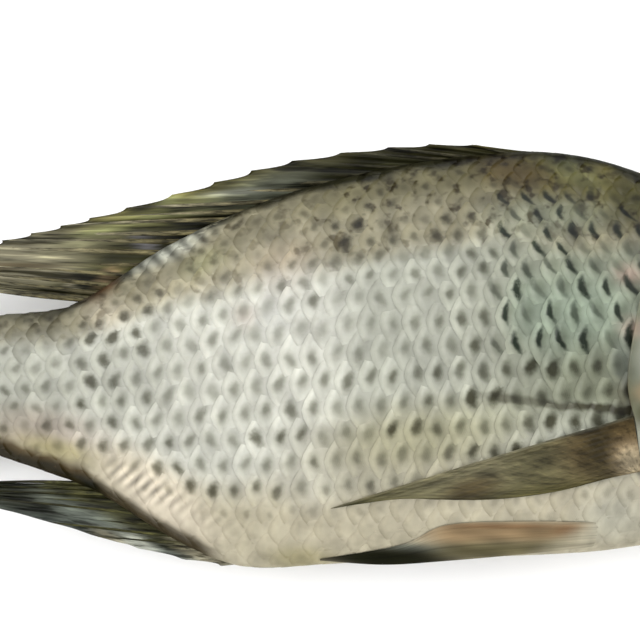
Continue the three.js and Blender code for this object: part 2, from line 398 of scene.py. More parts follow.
class Pigment(Enum):
    """A tilapia's colours, from the flank's silver to the fins' black, and a painted
    highlight's white.
    """

    SILVER = "d3d3c7"
    PEARL = "dfdfd9"
    ASH = "b5b7a9"
    TEAL = "95a491"
    REED = "80846f"
    SAND = "ada68c"
    TAUPE = "8f8a72"
    UMBER = "6a6346"
    OLIVE = "56512c"
    MOSS = "444326"
    PITCH = "1b1c0f"
    CREAM = "ebdfc8"
    BELLY = "c4bca2"
    LEAF = "9c9f6c"
    STRAW = "aca378"
    TAN = "9d8564"
    BLUSH = "b99a8d"
    RUST = "7d5838"
    BARK = "55462a"
    SLATE = "686f68"
    LILAC = "8d8b8e"
    WAX = "cfcbb2"


(SILVER, PEARL, ASH, TEAL, REED, SAND, TAUPE, UMBER, OLIVE, MOSS, PITCH, CREAM, BELLY, LEAF,
 STRAW, TAN, BLUSH, RUST, BARK, SLATE, LILAC, WAX) = Pigment


@dataclass(frozen=True)
class Dab:
    """A soft-edged patch of one pigment."""

    centre: Pair
    reach: Pair
    pigment: Pigment
    weight: float = 0.8
    tilt: float = 0.0

    def cover(self, x: Array, y: Array) -> Array:
        """How much of the patch lies at each point, from 0 to its weight."""
        return self.weight * mound(x, y, self.centre, self.reach, 1.5, self.tilt)


def dabs(*rows: tuple[float | Pigment, ...]) -> tuple[Dab, ...]:
    """Patches from rows: centre x and y, reach along and across, pigment, weight and tilt."""
    return tuple(Dab(row[:2], row[2:4], *row[4:]) for row in rows)


@dataclass(frozen=True)
class Zone:
    """A pigment that fades in along the fish and from the keel to the back."""

    pigment: Pigment
    weight: float
    stations: Pair | None = None  # where it starts and is full
    shares: Pair | None = None  # the same on the way from keel to back

    def cover(self, x: Array, share: Array) -> Array:
        """How much of it lies at each station and share of the depth."""
        made = self.weight * np.ones_like(x)
        for value, edge in ((x, self.stations), (share, self.shares)):
            made = made * smooth(value, *edge) if edge else made
        return made


def blend(base: Array, pigment: Pigment, cover: Array) -> Array:
    """Colours with a pigment laid over them."""
    return base + (rgb(pigment.value) - base) * np.clip(cover, 0, 1)[:, None]


def zoned(base: Array, zones: tuple[Zone, ...], x: Array, share: Array) -> Array:
    """Colours at stations x and shares of the depth with zones laid over them in order."""
    for zone in zones:
        base = blend(base, zone.pigment, zone.cover(x, share))
    return base


def dabbed(base: Array, dabs: tuple[Dab, ...], x: Array, y: Array) -> Array:
    """Colours at points (x, y) with patches laid over them in order."""
    for dab in dabs:
        base = blend(base, dab.pigment, dab.cover(x, y))
    return base


@dataclass(frozen=True)
class SkinColour:
    """Where each pigment lies on the trunk and head, and where light and shade are painted."""

    form: Form
    wet_share: float = 0.54  # painted dimming: all colours darker by this share to offset the bright lamps
    front: Pair = (112, 152)  # where the greener front of the trunk starts
    high: Pair = (0.74, 0.84)
    trunk_zones: tuple[Zone, ...] = (
        Zone(ASH, 0.9, (86, 104)),
        Zone(REED, 0.85, front, (0.26, 0.42)),
        Zone(BELLY, 1, None, (0.3, 0.14)),
        Zone(SAND, 1, None, high),
        Zone(TAUPE, 0.9, (60, 106), high),
        Zone(UMBER, 1, front, (0.78, 0.88)),
        Zone(OLIVE, 1, (126, 150), (0.86, 0.94)),
    )
    head_zones: tuple[Zone, ...] = (
        Zone(ASH, 0.6, (168, 196)),
        Zone(OLIVE, 1, (168, 196), (0.55, 0.86)),
        Zone(WAX, 0.8, (168, 196), (0.3, 0.1)),
    )
    patches: tuple[Dab, ...] = dabs(
        # the two white patches at (78, 17) and (77.5, 18.5) are a painted highlight on the
        # flank
        (78, 17, 16, 10, PEARL, 0.15), (77.5, 18.5, 5.5, 4.5, PEARL, 0.35),
        (10, 0, 18, 14, TAUPE, 0.15), (14, 4, 20, 12, ASH, 0.75), (40, 4, 14, 14, ASH, 0.45),
        (152, 18, 15, 12, TEAL, 0.8), (139, 20, 5, 8, TEAL, 0.5), (145, 42, 16, 5, TEAL, 0.35),
        # (162.5, 5) SLATE is a painted shadow behind the gill cover's rear edge; (158, 3) REED
        # is the flank's darker front and the same painted shadow
        (158, 3, 12, 9, REED, 0.85), (162.5, 5, 3.2, 9, SLATE, 0.7),
        (162.5, -1, 3, 4, UMBER, 0.5), (110, -14, 26, 10, SAND, 0.8, 6),
        (118, -10, 22, 7, LEAF, 0.25, 8), (48, -26, 17, 7, CREAM, 0.95, -38),
        (20, -10, 14, 5, BLUSH, 0.4, -8), (23, -15, 10, 3, STRAW, 0.85, -14),
        (14, -8, 16, 4, TAUPE, 0.3, -6), (84, -42, 8, 3, STRAW, 0.8),
        (161, -31, 9, 7, ASH, 0.5), (60, 31, 7, 3, LEAF, 0.4, 25),
        (80, 30, 9, 6, BLUSH, 0.2, 25), (70.5, 18, 3, 3, BLUSH, 0.3),
        (36, 18.5, 6, 4, CREAM, 0.4), (137, 53, 9, 4, BARK, 0.75, -8),
        (152, 53, 7, 3, LEAF, 0.3, -25), (166, 45, 6, 8, MOSS, 0.6, -35),
        (164, 28, 3.5, 2.5, BLUSH, 0.6), (165, 15, 3.5, 2.5, BLUSH, 0.6),
        (26, 23.5, 7, 2.5, BARK, 0.5, 25), (51.8, 34.0, 11, 2.4, ASH, 0.9, 27),
        (12, 15, 18, 3.5, UMBER, 0.55, 4), (35, 24.5, 4.5, 2.2, RUST, 0.5, 45),
    )
    head_patches: tuple[Dab, ...] = dabs(
        (168, 8, 3.5, 5, ASH, 0.6), (167.5, -0.5, 3, 2.6, TAN, 0.7),
        # (167.5, -5.5) MOSS is painted shade where the skin fold above the breast fin ends
        (167.5, -5.5, 3.2, 3, MOSS, 0.9), (184, 12, 8, 8, TEAL, 0.5),
        (196, -8, 13, 9, ASH, 0.6), (212, -14, 16, 7, WAX, 0.6), (178, -22, 9, 8, BLUSH, 0.4),
        (238, 4, 12, 7, OLIVE, 0.6), (215, 24, 16, 6, MOSS, 0.5, -35),
    )

    def ridge(self, base: Array, x: Array, y: Array, seed: int) -> Array:
        """Colours with an olive band and painted shadow under the back fin, broad at the front.
        """
        front = smooth(x, *self.front)
        under = self.form.back(x) - y + 1.2 * ripple(x, y, 18, seed + 7)
        weight = 0.3 + 0.3 * smooth(x, 76, 96) + 0.4 * front
        band = 2.4 + 0.9 * smooth(x, 72, 100) + 1.6 * smooth(x, 100, 126) + 0.3 * front
        base = blend(base, OLIVE, weight * smooth(under, 13, 5))
        # the near-black band closest to the back's line is painted shadow under the back fin
        return blend(base, PITCH, 0.92 * smooth(under, band, 0.4 * band))

    def keel(self, base: Array, x: Array, y: Array, seed: int) -> Array:
        """Colours with the dark lower edge of the tail stalk and of the anal fin's base."""
        over = y - self.form.belly(x) + 0.5 * ripple(x, y, 9, seed + 9)
        stalk, anal = smooth(x, 37, 30), between(x, 29, 33, 59, 65)
        base = blend(base, BARK, stalk * smooth(over, 5.8, 3.8))
        base = blend(base, BARK, 0.9 * anal * smooth(over, 4.6, 2.0))
        return blend(base, PITCH, (0.8 * stalk + 0.5 * anal) * smooth(over, 4.0, 2.2))

    def at(self, x: Array, y: Array, seed: int) -> Array:
        """The skin's colour, with the painted highlight, shade and dimming noted in its tables.

        Args:
            x: Stations.
            y: Levels.
            seed: Number of the draw of the uneven borders.

        Returns:
            Linear red, green and blue for each point.
        """
        share = self.form.height_share(x, y) + 0.018 * ripple(x, y, 26, seed)
        colour = np.tile(rgb(SILVER.value), (len(x), 1))
        colour = self.ridge(zoned(colour, self.trunk_zones, x, share), x, y, seed)
        colour = zoned(colour, self.head_zones, x, share)
        colour = dabbed(colour, self.patches + self.head_patches, x, y)
        colour = self.keel(colour, x, y, seed)
        uneven = 0.06 + 0.08 * smooth(share, 0.72, 0.82) + 0.05 * smooth(x, *self.front)
        mottle = 1 + uneven * (ripple(x, y, 11, seed + 3) + 0.8 * ripple(x, y, 5, seed + 5))
        mottle += 0.05 * smooth(x, 84, 100) * ripple(2.4 * x, y, 12, seed + 11)
        return self.wet_share * colour * np.clip(mottle, 0.5, 1.3)[:, None]


# ------------------------------------------------------------------ shaping meshes


class Finish(Protocol):
    """Anything that makes a material."""

    def material(self) -> bpy.types.Material:
        """Makes the material, once."""


class Clay:
    """A mesh being shaped in the fish's own millimetres.

    Every vertex keeps a chart value: where it lies on the sheet that it came from, and the
    number of that sheet.
    """

    def __init__(self) -> None:
        """Starts with nothing."""
        self.bm = bmesh.new()
        self.chart = self.bm.verts.layers.float_vector.new("chart")

    def sheet(self, columns: int, rows: int, place: Place, mark: float = 0.0) -> None:
        """Adds a grid that is drawn out to a surface.

        Args:
            columns: Faces along the sheet.
            rows: Faces across it.
            place: Gives the points for shares along and across, each from 0 to 1.
            mark: Number kept in the chart.
        """
        made = bmesh.ops.create_grid(self.bm, x_segments=columns, y_segments=rows, size=0.5)
        flat = np.array([vert.co[:2] for vert in made["verts"]])
        flat = (flat - flat.min(axis=0)) / np.ptp(flat, axis=0)
        for vert, share, point in zip(made["verts"], flat, place(flat[:, 0], flat[:, 1])):
            vert.co = point
            vert[self.chart] = (share[0], share[1], mark)

    def tube(self, path: Curve, radius: Curve, columns: int, sides: int,
             up: Triple = (0, 0, 1), mark: float = 0.0) -> None:
        """Adds a tapered tube.

        Args:
            path: Gives the middle line's points for shares from 0 to 1.
            radius: Gives the radius there. A radius of 0 closes an end.
            columns: Faces along the tube.
            sides: Faces round it.
            up: A direction that the path never runs in.
            mark: Number kept in the chart.
        """
        def place(along: Array, around: Array) -> Array:
            """Points round the middle line."""
            step = 1e-3
            ahead = unit(path(np.minimum(along + step, 1)) - path(np.maximum(along - step, 0)))
            side = unit(np.cross(ahead, np.array(up, float)))
            over = np.cross(side, ahead)
            turn = 2 * math.pi * around[:, None]
            return path(along) + radius(along)[:, None] * (
                side * np.cos(turn) + over * np.sin(turn)
            )

        self.sheet(columns, sides, place, mark)

    def weld(self, distance: float = 1e-3) -> None:
        """Joins vertices that lie together and turns all faces outwards."""
        bmesh.ops.remove_doubles(self.bm, verts=self.bm.verts, dist=distance)
        bmesh.ops.recalc_face_normals(self.bm, faces=self.bm.faces)

    def face_up(self) -> None:
        """Turns the faces of an open sheet on the right flank outwards."""
        if np.mean([face.normal.z for face in self.bm.faces]) < 0:
            bmesh.ops.reverse_faces(self.bm, faces=self.bm.faces)

    def take_to(self, side: Side) -> None:
        """Leaves the mesh on the right flank, or mirrors it to the left one."""
        if side is Side.LEFT:
            bmesh.ops.scale(self.bm, vec=(1, 1, -1), verts=self.bm.verts)
            bmesh.ops.reverse_faces(self.bm, faces=self.bm.faces)

    def to_piece(self, name: str, form: Form, finish: Finish, hue: Place | None = None,
                 node: str = "fish") -> None:
        """Ends the shaping and makes a piece of the fish.

        Args:
            name: The piece's name.
            form: The body's form.
            finish: Its finish.
            hue: Gives its colours from its points and their chart values.
            node: The node that it stands for.
        """
        mesh = bpy.data.meshes.new(name)
        self.bm.to_mesh(mesh)
        self.bm.free()
        if hue:
            chart = np.zeros(len(mesh.vertices) * 3)
            mesh.attributes["chart"].data.foreach_get("vector", chart)
            paint(mesh, "hue", hue(corners(mesh), chart.reshape(-1, 3)))
        settle(mesh, form, finish, node)


def corners(mesh: bpy.types.Mesh) -> Array:
    """The points of a mesh's vertices."""
    flat = np.zeros(len(mesh.vertices) * 3)
    mesh.vertices.foreach_get("co", flat)
    return flat.reshape(-1, 3)


def paint(mesh: bpy.types.Mesh, name: str, colours: Array) -> None:
    """Stores three or four numbers for each vertex of a mesh under a name for its material."""
    full = np.ones((len(colours), 4), np.float32)
    full[:, : colours.shape[1]] = colours
    layer = mesh.color_attributes.new(name=name, type="FLOAT_COLOR", domain="POINT")
    layer.data.foreach_set("color", full.ravel())


def settle(mesh: bpy.types.Mesh, form: Form, finish: Finish, node: str) -> None:
    """Moves a finished mesh into the frame and makes it a piece of the fish.

    Args:
        mesh: The mesh, in the fish's millimetres.
        form: The body's form.
        finish: Its finish.
        node: The node that it stands for.
    """
    mesh.vertices.foreach_set("co", form.to_row(corners(mesh)).ravel())
    mesh.shade_smooth()
    mesh.update()
    mesh.materials.append(finish.material())
    piece = bpy.data.objects.new(mesh.name, mesh)
    bpy.context.scene.collection.objects.link(piece)
    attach(piece, "root")
    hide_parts(node)
    logging.info("%s: %d faces", piece.name, len(mesh.polygons))


# ------------------------------------------------------------------ finishes


Socket = bpy.types.NodeSocket
Feeds = dict[str | int, object] | tuple[object, ...]
Adder = Callable[..., Socket]

SLIME_IOR = 1.4
WATER_IOR = 1.33
NOISE_SPAN = (0.3, 0.7)  # where nearly all values of a noise lie
SOFT = {"interpolation_type": "SMOOTHSTEP"}
TIMES = {"operation": "MULTIPLY"}
TIMES_PLUS = {"operation": "MULTIPLY_ADD"}
MIX_COLOUR = {"data_type": "RGBA", "out": 2}  # with factor 0, first colour 6, second 7
TINT_COLOUR = MIX_COLOUR | {"blend_type": "MULTIPLY"}


def noise_scale(size: float) -> float:
    """The scale of a noise whose blotches have the given size in millimetres."""
    return 1 / (size * MM) / 2


class Shading:
    """The node tree of a material or a world, started afresh."""

    def __init__(self, owner: bpy.types.Material | bpy.types.World) -> None:
        """Empties the tree of its owner."""
        owner.use_nodes = True
        self.owner = owner
        self.tree = owner.node_tree
        self.tree.nodes.clear()

    def add(self, kind: str, feeds: Feeds = (), out: int | str = 0,
            **settings: object) -> Socket:
        """Adds a node with its settings and links.

        Args:
            kind: Type of the node, without the word ShaderNode.
            feeds: A value or another node's output for each named or numbered input, or for
                the first inputs in their order.
            out: Name or number of the output that is wanted.
            **settings: The node's own settings.

        Returns:
            That output.
        """
        node = self.tree.nodes.new(f"ShaderNode{kind}")
        for key, value in settings.items():
            setattr(node, key, value)
        for key, value in feeds.items() if isinstance(feeds, dict) else enumerate(feeds):
            if isinstance(value, Socket):
                self.tree.links.new(value, node.inputs[key])
            else:
                node.inputs[key].default_value = value
        return node.outputs[out] if len(node.outputs) else node.inputs[0]

    def close(self, feeds: Feeds, shine: float = 0.5, coat: float = 0.0) -> bpy.types.Material:
        """Ends a material with its surface shader and output.

        Args:
            feeds: Values and links of the Principled shader.
            shine: Specular level where the surface faces the viewer. Slime dulls it at the rim.
            coat: Weight of the film of water there.

        Returns:
            The material.
        """
        face_on, edge_on, rim_share = 0.12, 0.6, 0.04
        if coat:
            facing = self.add("LayerWeight", {"Blend": 0.5}, "Facing")
            for name, level in (("Specular IOR Level", shine), ("Coat Weight", coat)):
                feeds[name] = self.add(
                    "MapRange", (facing, face_on, edge_on, level, rim_share * level)
                )
        self.add("OutputMaterial", (self.add("BsdfPrincipled", feeds),))
        return self.owner


@dataclass(frozen=True)
class ScaleFinish:
    """Wet fish scales: thin clear bone plates with silver below and a dark pocket each.

    Their free edge carries a painted highlight, their middle a dark oval of pigment, and the
    water and slime on them give a soft gloss. Places on a scale are shares of its length and
    height.
    """

    rim_tint: Triple = (1.3, 1.3, 1.28)
    pocket_tint: Triple = (0.68, 0.69, 0.65)
    spot_tint: Triple = (0.2, 0.19, 0.14)
    bar_tint: Triple = (0.05, 0.08, 0.05)
    speck_tint: Triple = (0.25, 0.22, 0.17)
    # painted shade in the skin fold above the breast fin
    fold_tint: Triple = (0.14, 0.12, 0.07)
    # fin-base ridges: crests painted paler for the sheath scales' pale colour, grooves darker
    # as painted shade
    ridge_tints: Pair = (0.45, 1.5)
    rim_share: float = 0.8
    rim_start: Pair = (0.8, 0.95)
    pocket_share: float = 0.85
    pocket_edge: Pair = (2.2, 0.6)  # where it is clear and full, in spots
    spot_place: float = 0.735
    spot_spread: float = 0.035  # how far along the scale a spot lies off its place
    spot_reach: Pair = (0.1, 0.27)
    spot_slant: float = 0.2
    spot_sizes: Pair = (0.85, 1.35)
    spot_shrink: Pair = (-0.4, 1.25)  # strong spots are drawn larger
    spot_edge: Pair = (1.85, 0.65)
    bar_place: float = 0.79
    bar_reach: Pair = (0.08, 0.5)
    bar_slant: float = 0.24
    bar_edge: Pair = (1.8, 0.9)
    ragged: float = 0.9  # how much the grain breaks the marks' edges
    wander: float = 0.14  # how far a mark lies off its scale's middle line
    speck_edge: Pair = (0.5, 0.68)
    fold_reach: Pair = (1.5, 0.3)  # mm from the skin fold: no painted shade, and full shade
    fold_wave: float = 2.4  # mm
    grain_mm: float = 0.8
    speck_mm: float = 1.7
    mottle_mm: float = 3.4
    mottle_share: float = 0.16
    mottle_shape: Triple = (1.5, 0.75, 1.0)  # its blotches stand upright
    plate_mm: Pair = (11.5, 6.2)
    focus: float = 0.35  # where the growth rings start
    circuli_mm: float = 0.45  # growth rings, drawn wider than their 0.1 mm so that they show
    circuli_share: float = 0.25
    relief_mm: float = 0.12
    roughness: Pair = (0.34, 0.52)

    def far(self, add: Adder, chart: Socket, middle: Socket,
            reach: Pair) -> Socket:
        """Distance of the chart's place from a middle, each way in its own reach."""
        off = add("VectorMath", (chart, middle), operation="SUBTRACT")
        off = add("VectorMath", (off, (1 / reach[0], 1 / reach[1], 0)), **TIMES)
        return add("VectorMath", (off,), "Value", operation="LENGTH")

    def mark(self, add: Adder, distance: Socket, size: Socket, grain: Socket,
             edge: Pair, strength: Socket) -> Socket:
        """How much a mark with ragged edges covers."""
        sized = add("Math", (distance, size), **TIMES)
        broken = add("Math", (grain, self.ragged, sized), **TIMES_PLUS)
        return add("Math", (add("MapRange", (broken, *edge), **SOFT), strength), **TIMES)

    def ovals(self, add: Adder, chart: Socket, marks: Socket,
              grain: Socket) -> tuple[Socket, Socket, Socket]:
        """Draws the pigment of each scale by the scale's number.

        Args:
            add: Adds a node.
            chart: Place on the scale.
            marks: Strengths of the marks.
            grain: Fine noise.

        Returns:
            Cover of the oval spot and of the leaning bar, and the distance from the spot.
        """
        spots, bars, _ = add("SeparateColor", (marks,)).node.outputs
        _, across, number = add("SeparateXYZ", (chart,)).node.outputs
        chance = add("TexWhiteNoise", {"W": number}, "Color", noise_dimensions="1D")
        other = add("Math", (number, 0.37), operation="ADD")  # off the first draw's numbers
        aside = add("TexWhiteNoise", {"W": other}, "Value", noise_dimensions="1D")
        slant, size, place = add("SeparateColor", (chance,)).node.outputs
        spread = self.spot_spread
        slant, size, place, aside = (
            add("MapRange", (drawn, 0, 1, *limits)) for drawn, limits in (
                (slant, (-self.spot_slant, self.spot_slant)),
                (size, (1 / self.spot_sizes[1], 1 / self.spot_sizes[0])),
                (place, (self.spot_place - spread, self.spot_place + spread)),
                (aside, (-self.wander, self.wander)),
            )
        )
        lean = add("Math", (slant, self.bar_slant), operation="ADD")
        spot_off, bar_off = (
            self.far(add, chart, add("CombineXYZ", (
                add("Math", (across, slope, start), **TIMES_PLUS), aside,
            )), reach)
            for slope, start, reach in (
                (slant, place, self.spot_reach), (lean, self.bar_place, self.bar_reach),
            )
        )
        small = add("Math", (spots, *self.spot_shrink), **TIMES_PLUS)
        small = add("Math", (small, size), **TIMES)
        spot = self.mark(add, spot_off, small, grain, self.spot_edge, spots)
        return spot, self.mark(add, bar_off, size, grain, self.bar_edge, bars), spot_off

    def crossing(self, add: Adder, beyond: Socket, folded: Socket,
                 flecks: Socket) -> tuple[Socket, Socket]:
        """The fold's painted shade and the wave of the ridges, which both cross many scales."""
        wavy = add("Math", (flecks, self.fold_wave, beyond), **TIMES_PLUS)
        wavy = add("Math", (wavy, -self.fold_wave / 2), operation="ADD")
        wavy = add("Math", (wavy,), operation="ABSOLUTE")
        fold = add("MapRange", (wavy, *self.fold_reach, 0, folded), **SOFT)
        phase = add("Math", (beyond, 2 * math.pi, flecks), **TIMES_PLUS)
        return fold, add("Math", (phase,), operation="SINE")

    def relief(self, add: Adder, chart: Socket, grain: Socket, raised: Socket) -> Socket:
        """The normal: growth rings, grain and the ridges at the fins' bases."""
        reach = self.far(add, chart, (self.focus, 0, 0), tuple(1 / mm for mm in self.plate_mm))
        rings = add("Math", (reach, 2 * math.pi / self.circuli_mm), **TIMES)
        wave = add("Math", (rings,), operation="SINE")
        height = add("Math", (wave, self.circuli_share, grain), **TIMES_PLUS)
        height = add("Math", (raised, height), operation="ADD")
        return add("Bump", {
            "Strength": 0.35, "Distance": self.relief_mm * MM, "Height": height,
        })

    @cache
    def material(self) -> bpy.types.Material:
        """Makes the material."""
        shading = Shading(bpy.data.materials.new("wet_silver_scales"))
        add = shading.add
        hue, marks, bands, chart = (
            add("Attribute", out=out, attribute_name=name) for name, out in (
                ("hue", "Color"), ("marks", "Color"), ("bands", "Color"), ("chart", "Vector"),
            )
        )
        tone, folded = (layer.node.outputs["Alpha"] for layer in (marks, bands))
        net, ridged, beyond = add("SeparateColor", (bands,)).node.outputs
        where = add("TexCoord", out="Object")
        upright = add("VectorMath", (where, self.mottle_shape), **TIMES)
        grain, flecks, mottle = (
            add("TexNoise", {"Vector": place, "Scale": noise_scale(size), "Detail": detail})
            for place, size, detail in (
                (where, self.grain_mm, 2.0), (where, self.speck_mm, 2.5),
                (upright, self.mottle_mm, 3.0),
            )
        )

        spot, bar, distance = self.ovals(add, chart, marks, grain)
        fold, ridges = self.crossing(add, beyond, folded, flecks)
        pocket = add("MapRange", (distance, *self.pocket_edge, 0, self.pocket_share), **SOFT)
        # painted highlight along each scale's free edge
        rim = add("MapRange", (
            add("SeparateXYZ", (chart,)), *self.rim_start, 0, self.rim_share,
        ), **SOFT)
        speck = add("MapRange", (flecks, *self.speck_edge), **SOFT)
        specks = add("SeparateColor", (marks,), "Blue")
        # the ridges' grooves darkened as painted shade, their crests paler
        shade = add("MapRange", (ridges, -1, 1, *self.ridge_tints))
        uneven = (1 - self.mottle_share, 1 + self.mottle_share)
        mottle = add("MapRange", (mottle, *NOISE_SPAN, *uneven))
        rim, pocket, speck, tone, raised = (add("Math", pair, **TIMES) for pair in (
            (rim, net), (pocket, net), (speck, specks), (tone, mottle), (ridges, ridged),
        ))

        colour = hue
        for cover, tint in (
            (1.0, tone), (ridged, shade), (rim, self.rim_tint), (pocket, self.pocket_tint),
            (spot, self.spot_tint), (bar, self.bar_tint), (speck, self.speck_tint),
            (fold, self.fold_tint),
        ):
            tint = tint if isinstance(tint, Socket) else (*tint, 1.0)
            colour = add("Mix", {0: cover, 6: colour, 7: tint}, **TINT_COLOUR)
        return shading.close({
            "Base Color": colour, "Normal": self.relief(add, chart, grain, raised),
            "Roughness": add("MapRange", (flecks, *NOISE_SPAN, *self.roughness)),
            "IOR": SLIME_IOR, "Coat Roughness": 0.18, "Coat IOR": WATER_IOR,
        }, shine=0.26, coat=0.16)


@dataclass(frozen=True)
class SkinFinish:
    """Bare wet fish skin: fine pores and creases under a film of slime."""

    crease_mm: float = 2.4
    pore_mm: float = 0.7
    pore_share: float = 0.3
    relief_mm: float = 0.15
    speck_colour: str = "3a3627"
    speck_share: float = 0.16
    speck_edge: Pair = (0.48, 0.7)
    roughness: float = 0.42

    @cache
    def material(self) -> bpy.types.Material:
        """Makes the material."""
        shading = Shading(bpy.data.materials.new("wet_bare_skin"))
        add = shading.add
        hue = add("Attribute", attribute_name="hue")
        where = add("TexCoord", out="Object")
        creases = add("TexNoise", {
            "Vector": where, "Scale": noise_scale(self.crease_mm), "Detail": 4.0,
            "Distortion": 0.6,
        })
        pores = add("TexVoronoi", {"Vector": where, "Scale": 1 / (self.pore_mm * MM)})
        fleck = add("MapRange", (creases, *self.speck_edge, 0, self.speck_share), **SOFT)
        colour = add("Mix", {0: fleck, 6: hue, 7: linear(self.speck_colour)}, **MIX_COLOUR)
        height = add("Math", (pores, self.pore_share, creases), **TIMES_PLUS)
        normal = add("Bump", {
            "Strength": 0.3, "Distance": self.relief_mm * MM, "Height": height,
        })
        return shading.close({
            "Base Color": colour, "Normal": normal, "Roughness": self.roughness,
            "IOR": SLIME_IOR, "Coat Roughness": 0.14, "Coat IOR": WATER_IOR,
            "Subsurface Weight": 0.08, "Subsurface Scale": 1.5 * MM,
            "Subsurface Radius": (1.0, 0.6, 0.4),
        }, shine=0.22, coat=0.14)


@dataclass(frozen=True)
class FinFinish:
    """Wet fin skin folded between its rays: black and olive streaks, pale ones partly painted
    highlight.
    """

    name: str
    streaks_across: float
    streaks_along: float
    dark_share: float
    light_share: float
    joint_share: float = 0.0  # strength of the fine cross lines where the rays are jointed
    gloss: float = 0.12
    joints: float = 40.0
    joint_edge: Pair = (0.2, 0.9)
    dark_tint: Triple = (0.1, 0.1, 0.07)
    dark_edge: Pair = (0.52, 0.36)
    # the paler streaks: partly the fin's own paler colour, partly painted highlight on its wet
    # folds
    light_tint: Triple = (2.6, 2.6, 2.5)
    light_edge: Pair = (0.55, 0.68)
    relief_mm: float = 0.25
    roughness: float = 0.4

    @cache
    def material(self) -> bpy.types.Material:
        """Makes the material."""
        shading = Shading(bpy.data.materials.new(self.name))
        add = shading.add
        chart = add("Attribute", attribute_name="chart", out="Vector")
        _, out, _ = add("SeparateXYZ", (chart,)).node.outputs
        drawn_out = add("VectorMath", (
            chart, (self.streaks_across, self.streaks_along, 1),
        ), **TIMES)
        streaks = add("TexNoise", {
            "Vector": drawn_out, "Scale": 1.0, "Detail": 3.0, "Roughness": 0.6,
        })
        darker = add("MapRange", (streaks, *self.dark_edge, 0, self.dark_share), **SOFT)
        lighter = add("MapRange", (streaks, *self.light_edge, 0, self.light_share), **SOFT)
        covers = [(darker, self.dark_tint), (lighter, self.light_tint)]
        if self.joint_share:
            turns = add("Math", (out, 2 * math.pi * self.joints), **TIMES)
            wave = add("Math", (turns,), operation="SINE")
            line = add("MapRange", (wave, *self.joint_edge, 0, self.joint_share))
            covers.append((line, self.dark_tint))
        colour = add("Attribute", attribute_name="hue")
        for cover, tint in covers:
            colour = add("Mix", {0: cover, 6: colour, 7: (*tint, 1.0)}, **TINT_COLOUR)
        normal = add("Bump", {
            "Strength": 0.4, "Distance": self.relief_mm * MM, "Height": streaks,
        })
        return shading.close({
            "Base Color": colour, "Normal": normal, "Roughness": self.roughness,
            "IOR": SLIME_IOR, "Coat Roughness": 0.14, "Coat IOR": WATER_IOR,
        }, shine=self.gloss, coat=0.7 * self.gloss)


@dataclass(frozen=True)
class EyeFinish:
    """A fresh fish eye: a black pupil in a brassy iris under a wet clear cornea."""

    pupil_share: float = 0.4
    iris_share: float = 0.74
    ragged: float = 0.07
    shades: Pair = (0.65, 1.25)  # of the iris's fibres
    pupil: str = "090a0a"
    brass: str = "a98e45"
    iris: str = "5d4a26"
    white: str = "8d8f86"

    @cache
    def material(self) -> bpy.types.Material:
        """Makes the material."""
        shading = Shading(bpy.data.materials.new("wet_fish_eye"))
        add = shading.add
        chart = add("Attribute", attribute_name="chart", out="Vector")
        flat = add("VectorMath", (chart, (1, 1, 0)), **TIMES)
        radius = add("VectorMath", (flat,), "Value", operation="LENGTH")
        fibres = add("TexNoise", {"Vector": chart, "Scale": 9.0, "Detail": 4.0})
        broken = add("Math", (fibres, self.ragged, radius), **TIMES_PLUS)
        ramp = add("ValToRGB", (broken,))
        stops = ramp.node.color_ramp.elements
        stops[0].position, stops[0].color = self.pupil_share, linear(self.pupil)
        stops[1].position, stops[1].color = self.pupil_share + 0.03, linear(self.brass)
        for place, code in (
            (self.pupil_share + 0.1, self.iris), (self.iris_share, self.iris),
            (self.iris_share + 0.08, self.white),
        ):
            stops.new(place).color = linear(code)
        shade = add("MapRange", (fibres, *NOISE_SPAN, *self.shades))
        colour = add("Mix", {0: 1.0, 6: ramp, 7: shade}, **TINT_COLOUR)
        return shading.close({
            "Base Color": colour, "Roughness": 0.3, "IOR": 1.38, "Specular IOR Level": 0.2,
            "Coat Weight": 0.6, "Coat Roughness": 0.05, "Coat IOR": WATER_IOR,
        })


# ------------------------------------------------------------------ trunk and head


@dataclass(frozen=True)
class GillShape:
    """Outline and rise of the gill covers."""

    rear: Sweep = Sweep((
        (175, 36), (168, 26), (165, 14), (163.5, 2), (165.5, -8), (168, -20), (176, -30),
        (192, -32.5),
    ))
    front: Sweep = Sweep(((187, 31), (191, 16), (192, 0), (194, -13), (201, -23), (210, -26)))
    rise: float = 1.8
    foot: float = 0.2

    def edges(self, y: Array) -> tuple[Array, Array]:
        """Stations of the rear and front edge at levels y."""
        share = np.linspace(0, 1, 80)
        rear, front = self.rear(share), self.front(share)
        found = (np.interp(-y, -edge[:, 1], edge[:, 0]) for edge in (rear, front))
        return tuple(found)

    def height(self, x: Array, y: Array) -> Array:
        """How far the cover stands off the flank at (x, y)."""
        rear, front = self.edges(y)
        towards = np.clip((front - x) / np.maximum(front - rear, 1), 0, 1)
        inside = between(y, -32.5, -30, 32, 35) * (x > rear)
        return inside * (self.foot + self.rise * towards**2)


